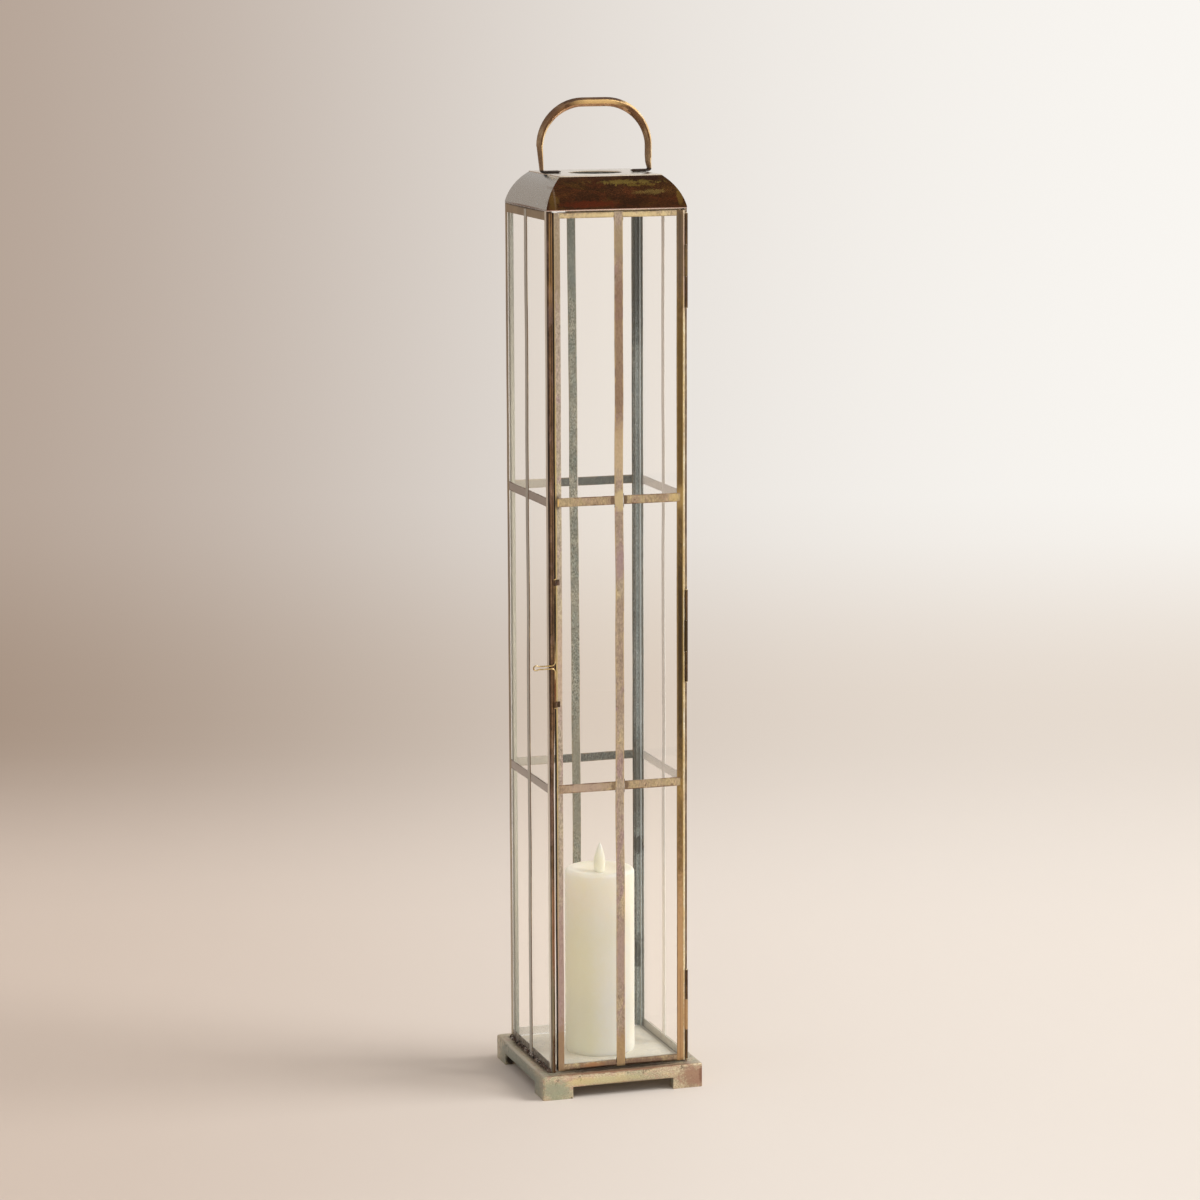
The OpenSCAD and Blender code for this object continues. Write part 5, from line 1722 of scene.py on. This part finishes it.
@dataclass
class Door(Glazing):
    """The hinged door: two stiles, two rails, the glazing bars and the pane."""

    tab: float = 3.5
    stile_lip: float = 0.8
    roll: float = 0.85
    roll_inset: float = 0.95
    solder: float = 0.3

    def build(self) -> None:
        """Make the door's metal and dress its pane and beads."""
        # The flank that looks into the gap by the post takes painted shade.
        self.stile("latch", -1, self.stile_lip, LATCH_STILE_TAN, Handwork(amount=0.12, wave=240, seed=51),
                   lined(INNER_GREY, Way.RIGHT, Way.BACK) + lined(GAP_PAINTED_SHADE, Way.LEFT))
        self.stile("hinge", 1, 0.0, HINGE_STILE_BROWN, Handwork(amount=0.08, wave=240, seed=52),
                   lined(INNER_GREY, Way.LEFT, Way.BACK))
        self.edge_roll()
        self.rails()
        self.bars()
        self.seams()
        dress(ClearGlass(), "door_glass")
        dress(INNER_GREY, "door_glass_beads")

    def stile(self, name: str, side: int, lip: float, finish: AgedBrass, hand: Handwork,
              accents: Sequence[Accent]) -> None:
        """Make a stile, an angle that is bent at the door's outer edge.

        Args:
            name: Which stile.
            side: Its side, with -1 for left and 1 for right.
            lip: How far its front reaches past the frame node's.
            finish: Its finish.
            hand: Its waviness.
            accents: The finishes of its other faces.
        """
        low, high = span(f"door_stile_{name}")
        outline = angle_outline(low[:2], high[:2] + [lip, 0], (side, -1), self.sheet)
        form = straight(outline, Axis.Z, low[2], high[2], hand)
        add_piece(f"door_stile_{name}_sheet", form, finish, Slot.DOOR, f"door_stile_{name}", accents)

    def edge_roll(self) -> None:
        """Make the rolled edge beside the hinges, a round carried up the front of the stile."""
        low, high = span("door_stile_hinge")
        outline = [high[0] - self.roll_inset, low[1] - 0.05] + self.roll * circle(14)
        form = straight(outline, Axis.Z, low[2] + 0.3, high[2] - 0.3, Handwork(amount=0.05, wave=200, seed=53))
        add_piece("door_edge_roll", form, ROLL_GOLD_AND_HIGHLIGHT, Slot.DOOR)

    def rails(self) -> None:
        """Make the top and bottom rails, angles that run between the stiles."""
        start = span("door_stile_latch")[1][0]
        stop = span("door_stile_hinge")[0][0]
        for name, corner, seed in (("top", 1, 54), ("bottom", -1, 55)):
            low, high = span(f"door_rail_{name}")
            outline = angle_outline(low[1:], high[1:], (-1, corner), self.sheet)
            form = straight(outline, Axis.X, start, stop, Handwork(amount=0.1, wave=120, seed=seed))
            add_piece(f"door_rail_{name}_sheet", form, DOOR_TAN, Slot.DOOR, f"door_rail_{name}",
                      lined(INNER_GREY, Way.BACK))

    def bars(self) -> None:
        """Make the upright strip, proud of the rails, and the crossbars that lap over the stiles."""
        middle = span("door_muntin")
        low, high = middle
        outline = bar_outline(low[:2] - [0, self.proud], high[:2] - [0, self.proud])
        form = straight(outline, Axis.Z, low[2], high[2], Handwork(amount=0.4, wave=330, seed=56))
        add_piece("door_muntin_strip", form, DOOR_MAUVE, Slot.DOOR, "door_muntin", lined(INNER_GREY, Way.BACK))
        low, high = np.array(span("door_crossbars")) - [0, self.proud, 0]
        forms = self.halves(low, high, middle, self.tab, 57)
        add_piece("door_crossbar_strips", Form.join(forms), DOOR_BAR, Slot.DOOR, "door_crossbars",
                  lined(INNER_GREY, Way.BACK))

    def seams(self) -> None:
        """Lay thin upright solder beside the strip where it crosses the rails and the crossbars' edges."""
        low, high = span("door_muntin")
        lower, upper = span("door_crossbars")
        levels = [low[2] + 7, high[2] - 6, lower[2], lower[2] + self.bar_height, upper[2] - self.bar_height, upper[2]]
        y = low[1] - 0.1
        places = [(x, z) for x in (low[0] - 0.15, high[0] + 0.15) for z in levels]
        forms = [solder_seam(np.array([[x, y, z - 3.5], [x, y, z + 2.5]]), self.solder, 0.5, 60 + i)
                 for i, (x, z) in enumerate(places)]
        add_piece("door_solder", Form.join(forms), SOLDER, Slot.DOOR)


@dataclass
class Latch(Fitted):
    """The latch wire: a shank in two eyes, with a hairpin finger loop."""

    node: str = "latch_wire"
    wire: float = 0.75
    head: float = 1.35
    head_long: float = 0.95
    head_edge: float = 0.2
    bend: float = 4.0
    neck: float = 1.55
    bulb: float = 2.5
    flare: float = 8.0
    loop_rise: float = 43.0

    def line(self, axis_x: float, loop_z: float) -> Array:
        """Give the wire's middle line as x and z, from its top to its foot.

        The round end is an arc of the bulb's radius. Each arm flares into it on a larger arc that
        touches both, so the flare's angle comes from the distance between the two centres.

        Args:
            axis_x: Where the shank stands.
            loop_z: Height of the finger loop.

        Returns:
            The points.
        """
        tip = self.low[0] + self.wire + 0.05
        centre_x = tip + self.bulb
        run = math.sqrt((self.flare + self.bulb) ** 2 - (self.neck + self.flare) ** 2)
        angle = math.asin(run / (self.flare + self.bulb))
        top = [[axis_x, self.top], [axis_x, loop_z + self.neck + self.bend]]
        corner = arc((axis_x - self.bend, loop_z + self.neck + self.bend), self.bend, 0, -math.pi / 2, 9)
        flare = arc((centre_x + run, loop_z + self.neck + self.flare), self.flare, -math.pi / 2,
                    -math.pi / 2 - angle, 7)
        bulb = arc((centre_x, loop_z), self.bulb, math.pi / 2 - angle, math.pi, 13)
        upper = np.vstack([top, corner[1:], flare, bulb[1:]])
        lower = (upper * [1, -1] + [0, 2 * loop_z])[::-1][1:]
        lower[-1, 1] = self.foot
        return np.vstack([upper, lower])

    def build(self) -> None:
        """Make the wire with flattened heads, and dress its eyes."""
        axis_x = self.high[0] - self.head - 0.05
        axis_y = 0.5 * (self.low[1] + self.high[1])
        line = self.line(axis_x, span("latch_eyes")[0][2] + self.loop_rise)
        line, places = refined(line, 70, (0.4, 0.9, 1.0))
        edge = np.minimum(places, places[-1] - places)
        radius = np.where(edge < self.head_long, self.head, self.wire) * np.where(edge < self.head_edge, 0.75, 1.0)
        form = bent_rod(line, places, axis_y, circle(14) * radius[:, None, None])
        add_piece("latch_bent_wire", form, LATCH_GOLD, Slot.LATCH, "latch_wire", smooth=50)
        dress(EYE_DARK, "latch_eyes")


@dataclass
class Hinges:
    """The three hinges, dressed as they stand in the frame."""

    def build(self) -> None:
        """Dress the leaves and the pins."""
        dress(HINGE_BROWN, "hinge_post_leaves")
        dress(HINGE_STILE_BROWN, "hinge_door_leaves")
        dress(ROLL_GOLD_AND_HIGHLIGHT, "hinge_pins")


@dataclass
class Candle(Fitted):
    """The flameless pillar candle: wax, flame and the works inside."""

    node: str = "candle_wax"
    rim: float = 4.0
    wave: float = 0.5
    swell: float = 0.0022
    dish: float = 31.0
    dish_depth: float = 5.0
    foot_edge: float = 0.6
    tray_bore: float = 32.8
    tray_depth: float = 3.0
    bore: float = 29.3
    bore_depth: float = 150.0
    stem_bore: float = 4.5
    flame_rise: float = 12.0
    belly_rise: float = 10.5
    stem: float = 4.2
    flame_foot: float = 5.0
    lamp_bore: float = 2.7

    def build(self) -> None:
        """Make the wax and the flame, and dress the works."""
        self.wax()
        self.flame()
        dress(Moulded("Tray plastic", (0.90, 0.88, 0.82), (0.86, 0.84, 0.77)), "candle_tray", "candle_battery_lid")
        dress(Moulded("Cell jacket", (0.20, 0.22, 0.24), (0.26, 0.28, 0.30), 0.3, 0.4), "candle_cells")
        dress(Moulded("Contact plate", (0.78, 0.78, 0.76), (0.70, 0.70, 0.68), 0.25, 1.0), "candle_contacts")
        dress(Moulded("Lead sleeve", (0.60, 0.10, 0.08), (0.52, 0.08, 0.06)), "candle_leads")
        dress(Moulded("Lamp resin", (0.97, 0.95, 0.82), (0.95, 0.92, 0.76), 0.15), "candle_led")
        dress(Moulded("Switch plastic", (0.07, 0.07, 0.07), (0.10, 0.10, 0.10), 0.5), "candle_switch")

    def standing(self, grid: Array, height: float) -> Array:
        """Move points from the origin to the candle's axis, at a height."""
        return grid + [*0.5 * (self.low + self.high)[:2], height]

    def wax(self) -> None:
        """Make the wax: a profile turned round the axis, its rim rising and falling a little as it goes round."""
        radius = 0.5 * (self.high[0] - self.low[0])
        tall = self.top - self.foot
        dish = np.linspace(self.stem_bore, self.dish - 0.5, 12)
        bowl = np.stack([dish, tall - self.dish_depth * (1 - (dish / self.dish) ** 2.4)], -1)
        shoulder = arc((radius - self.rim, tall - self.rim), self.rim, math.radians(100), 0, 9)
        side = np.linspace([radius, tall - self.rim - 4], [radius, 2.0], 14)
        under = [[radius - self.foot_edge, 0.0], [self.tray_bore, 0.0], [self.tray_bore, self.tray_depth],
                 [self.bore, self.tray_depth], [self.bore, self.bore_depth], [self.stem_bore, self.bore_depth]]
        profile = np.vstack([bowl, shoulder, side, under])
        reach, height = profile[:, :1], profile[:, 1:]
        grid = revolve(profile, 96)
        turn = np.linspace(0, 2 * math.pi, 96, endpoint=False)
        ripple = np.sin(3 * turn + 0.6) + 0.5 * np.sin(7 * turn + 2.0)
        weight = np.exp(-(((reach - radius + self.rim) / 5) ** 2)) * (height > tall - 7)
        grid[..., 2] -= 0.5 * self.wave * (1.5 - ripple) * weight
        swell = 1 - self.swell * (1 + np.sin(2 * turn + height / 40) * np.cos(turn * 5 + height / 23))
        grid[..., :2] *= np.where(reach > 34, swell, 1.0)[..., None]
        form = tube(self.standing(grid, self.foot), ring=True)
        add_piece("candle_wax_body", form, Wax(), Slot.WAX, "candle_wax", smooth=50)

    def flame(self) -> None:
        """Make the flame: a drop on its stem, turned round the axis, its tip leaning over as the square of height."""
        low, high = span("candle_flame")
        base = low[2] + self.flame_rise
        tall = high[2] - base
        belly = 0.5 * (high[0] - low[0]) - 0.3
        lift = np.linspace(0.5, tall, 26)
        share = (lift - self.belly_rise) / (tall - self.belly_rise)
        rounding = np.sin(0.5 * math.pi * np.clip(lift / self.belly_rise, 0, 1))
        drop = np.where(share < 0, self.flame_foot + (belly - self.flame_foot) * rounding,
                        belly * (1 - np.clip(share, 0, 1) ** 1.7))
        outer = np.stack([np.maximum(drop, 0.0), lift], -1)
        hollow = [[0.0, -1.4], [self.lamp_bore, -1.4], [self.lamp_bore, -self.flame_rise],
                  [self.stem, -self.flame_rise], [self.stem, 0.4]]
        grid = revolve(np.vstack([hollow, outer]), 48)
        rise = np.clip(grid[..., 2] / tall, 0, 1)
        grid[..., 0] += 1.6 * rise**2 - 1.2 * rise**4
        grid[..., 1] *= 1 - 0.25 * rise
        finish = Wax("Flame plastic", body=(0.93, 0.92, 0.85), deep=(0.91, 0.90, 0.81), glow=0.06)
        form = tube(self.standing(grid, base), caps=False)
        add_piece("candle_flame_drop", form, finish, Slot.FLAME, "candle_flame", smooth=60)


# Studio

@dataclass(frozen=True)
class Backdrop:
    """Colours of the backdrop, as seen, at the left and right of the picture. The left is darker, most of all at the
    bend, and the right lighter: painted shade and light on a plain sweep.
    """

    floor: tuple[Colour, Colour] = ((0.780, 0.718, 0.668), (0.903, 0.877, 0.850))
    bend: tuple[Colour, Colour] = ((0.610, 0.522, 0.452), (0.918, 0.875, 0.830))
    wall: tuple[Colour, Colour] = ((0.664, 0.580, 0.515), (0.985, 0.975, 0.957))


@dataclass
class Studio:
    """The pale sweep, the soft light and the camera."""

    lens: float = 118.58
    sensor: float = 36.0
    yaw: float = 17.555
    pitch: float = 9.465
    roll: float = -0.220
    stand: Point = (-1248.27, -3958.22, 1210.91)
    reach: float = 4150.0
    half_view: float = 0.152
    floor_at: float = -6000.0
    wall_at: float = 2600.0
    wall_top: float = 4500.0
    half_width: float = 7000.0
    bend: float = 900.0
    key_energy: float = 2.2
    key_spread: float = 30.0
    key_colour: Colour = (1.0, 0.985, 0.965)
    key_from: Point = (0.69, -0.29, 0.66)
    horizon: Colour = (0.96, 0.945, 0.925)
    ceiling: Colour = (0.82, 0.81, 0.80)
    colours: Backdrop = field(default_factory=Backdrop)

    def build(self) -> None:
        """Make the camera, the sweep and the lights."""
        self.camera()
        self.sweep()
        self.lights()
        self.world()

    def camera(self) -> None:
        """Make the camera: it looks along its yaw and down by its pitch, then rolls about that line."""
        yaw, pitch, roll = np.radians([self.yaw, self.pitch, self.roll])
        ahead = np.array([math.sin(yaw) * math.cos(pitch), math.cos(yaw) * math.cos(pitch), -math.sin(pitch)])
        right = np.array([math.cos(yaw), -math.sin(yaw), 0.0])
        up = np.cross(right, ahead)
        level, tilt = math.cos(roll) * right + math.sin(roll) * up, -math.sin(roll) * right + math.cos(roll) * up
        data = bpy.data.cameras.new("Camera")
        data.lens = self.lens
        data.sensor_width = self.sensor
        data.clip_end = 200.0
        camera = linked("Camera", data)
        turn = np.stack([level, tilt, -ahead], 1)
        camera.matrix_world = Matrix.LocRotScale(Vector(self.stand) * MM, Matrix(turn.tolist()), None)
        bpy.context.scene.camera = camera

    def sweep(self) -> None:
        """Make the sweep: a floor that bends up to a wall, with colours that pass smoothly between its named ones."""
        yaw = math.radians(self.yaw)
        start = self.wall_at - self.bend
        depth, height = np.concatenate([
            np.linspace([self.floor_at, 0], [start, 0], 40),
            arc((start, self.bend), self.bend, -math.pi / 2, 0, 16)[1:],
            np.linspace([self.wall_at, self.bend + 200], [self.wall_at, self.wall_top], 12)]).T
        wide = np.linspace(-self.half_width, self.half_width, 91)
        across, along = np.array([math.cos(yaw), -math.sin(yaw)]), np.array([math.sin(yaw), math.cos(yaw)])
        form = sheet_grid(raised(wide[None, :, None] * across + depth[:, None, None] * along, height))
        mesh = bpy.data.meshes.new("studio_sweep")
        mesh.from_pydata((form.vertices * MM).tolist(), [], form.faces)
        mesh.shade_smooth()
        tint = mesh.color_attributes.new("tint", "FLOAT_COLOR", "POINT")
        tint.data.foreach_set("color", self.tints(wide, depth, height).astype(np.float32).ravel())
        far = mesh.attributes.new("far", "FLOAT", "POINT")
        far.data.foreach_set("value", np.repeat(ease(depth, 500, start + 200), len(wide)).astype(np.float32))
        mesh.materials.append(self.sweep_material())
        linked("studio_sweep", mesh)

    def tints(self, wide: Array, depth: Array, height: Array) -> Array:
        """Work out the sweep's colours: left to right by the direction from the camera, floor to wall by depth.

        From left to right the share is one over one plus the exponential of minus the direction.

        Args:
            wide: Places across the sweep.
            depth: Places along the floor.
            height: Heights up the wall.

        Returns:
            A colour for each point of the sweep.
        """
        lean = wide[None] / np.maximum(depth[:, None] + self.reach, 1200) / self.half_view
        share = (1 / (1 + np.exp(-2.6 * (lean + 0.25))))[..., None]
        floor, bend, wall = (
            (1 - share) * linear(left)[:3] + share * linear(right)[:3]
            for left, right in (self.colours.floor, self.colours.bend, self.colours.wall))
        back = ease(depth, 700, 1950)[:, None, None]
        high = ease(height, 10, 310)[:, None, None]
        colour = (1 - high) * ((1 - back) * floor + back * bend) + high * wall
        return np.concatenate([colour, np.ones((*colour.shape[:2], 1))], -1)

    def sweep_material(self) -> Material:
        """Build the sweep's material: lit near the lantern, and plainly shown further off.

        Returns:
            The material.
        """
        material, kit, shader, _ = new_material("Studio sweep")
        tint = kit.add("ShaderNodeAttribute", attribute_name="tint").outputs["Color"]
        far = kit.add("ShaderNodeAttribute", attribute_name="far").outputs["Fac"]
        kit.fill(shader, Base_Color=tint, Roughness=0.9, Specular_IOR_Level=0.1)
        shown = kit.add("ShaderNodeEmission")
        kit.fill(shown, Color=tint)
        path = kit.add("ShaderNodeLightPath")
        seen = kit.maths("MAXIMUM", path.outputs["Is Camera Ray"],
                         kit.maths("MAXIMUM", path.outputs["Is Glossy Ray"], path.outputs["Is Transmission Ray"]))
        plain = kit.blend(kit.times(seen, far), shader.outputs[0], shown.outputs[0])
        behind = kit.add("ShaderNodeNewGeometry").outputs["Backfacing"]
        kit.show(kit.blend(behind, plain, kit.add("ShaderNodeBsdfTransparent").outputs[0]))
        return material

    def lights(self) -> None:
        """Hang one large soft light on the right, in front."""
        key = bpy.data.lights.new("Key", "SUN")
        key.energy = self.key_energy
        key.angle = math.radians(self.key_spread)
        key.color = self.key_colour
        linked("Key", key).rotation_euler = Vector(self.key_from).to_track_quat("Z", "Y").to_euler()

    def world(self) -> None:
        """Make the world: pale round the horizon and dimmer overhead, as under a studio ceiling."""
        world = bpy.data.worlds.new("Studio")
        bpy.context.scene.world = world
        world.use_nodes = True
        world.node_tree.nodes.clear()
        kit = Kit(world.node_tree)
        parts = kit.add("ShaderNodeSeparateXYZ")
        kit.feed(parts.inputs[0], kit.add("ShaderNodeTexCoord").outputs["Generated"])
        high = kit.rise(parts.outputs["Z"], 0.1, 0.85)
        back = kit.add("ShaderNodeBackground")
        kit.fill(back, Color=kit.mix(high, linear(self.horizon), linear(self.ceiling)))
        kit.feed(kit.add("ShaderNodeOutputWorld").inputs["Surface"], back.outputs[0])


def main() -> None:
    """Build the lantern's looks and the studio, in order."""
    logging.basicConfig(level=logging.INFO, format="%(name)s: %(message)s")
    bpy.context.scene.view_settings.view_transform = "Standard"
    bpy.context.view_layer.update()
    for part in (Studio(), Plinth(), GlazedBody(), Roof(), Handle(), Door(), Hinges(), Latch(), Candle()):
        LOG.info("building %s", type(part).__name__)
        part.build()


if __name__ == "__main__":
    main()
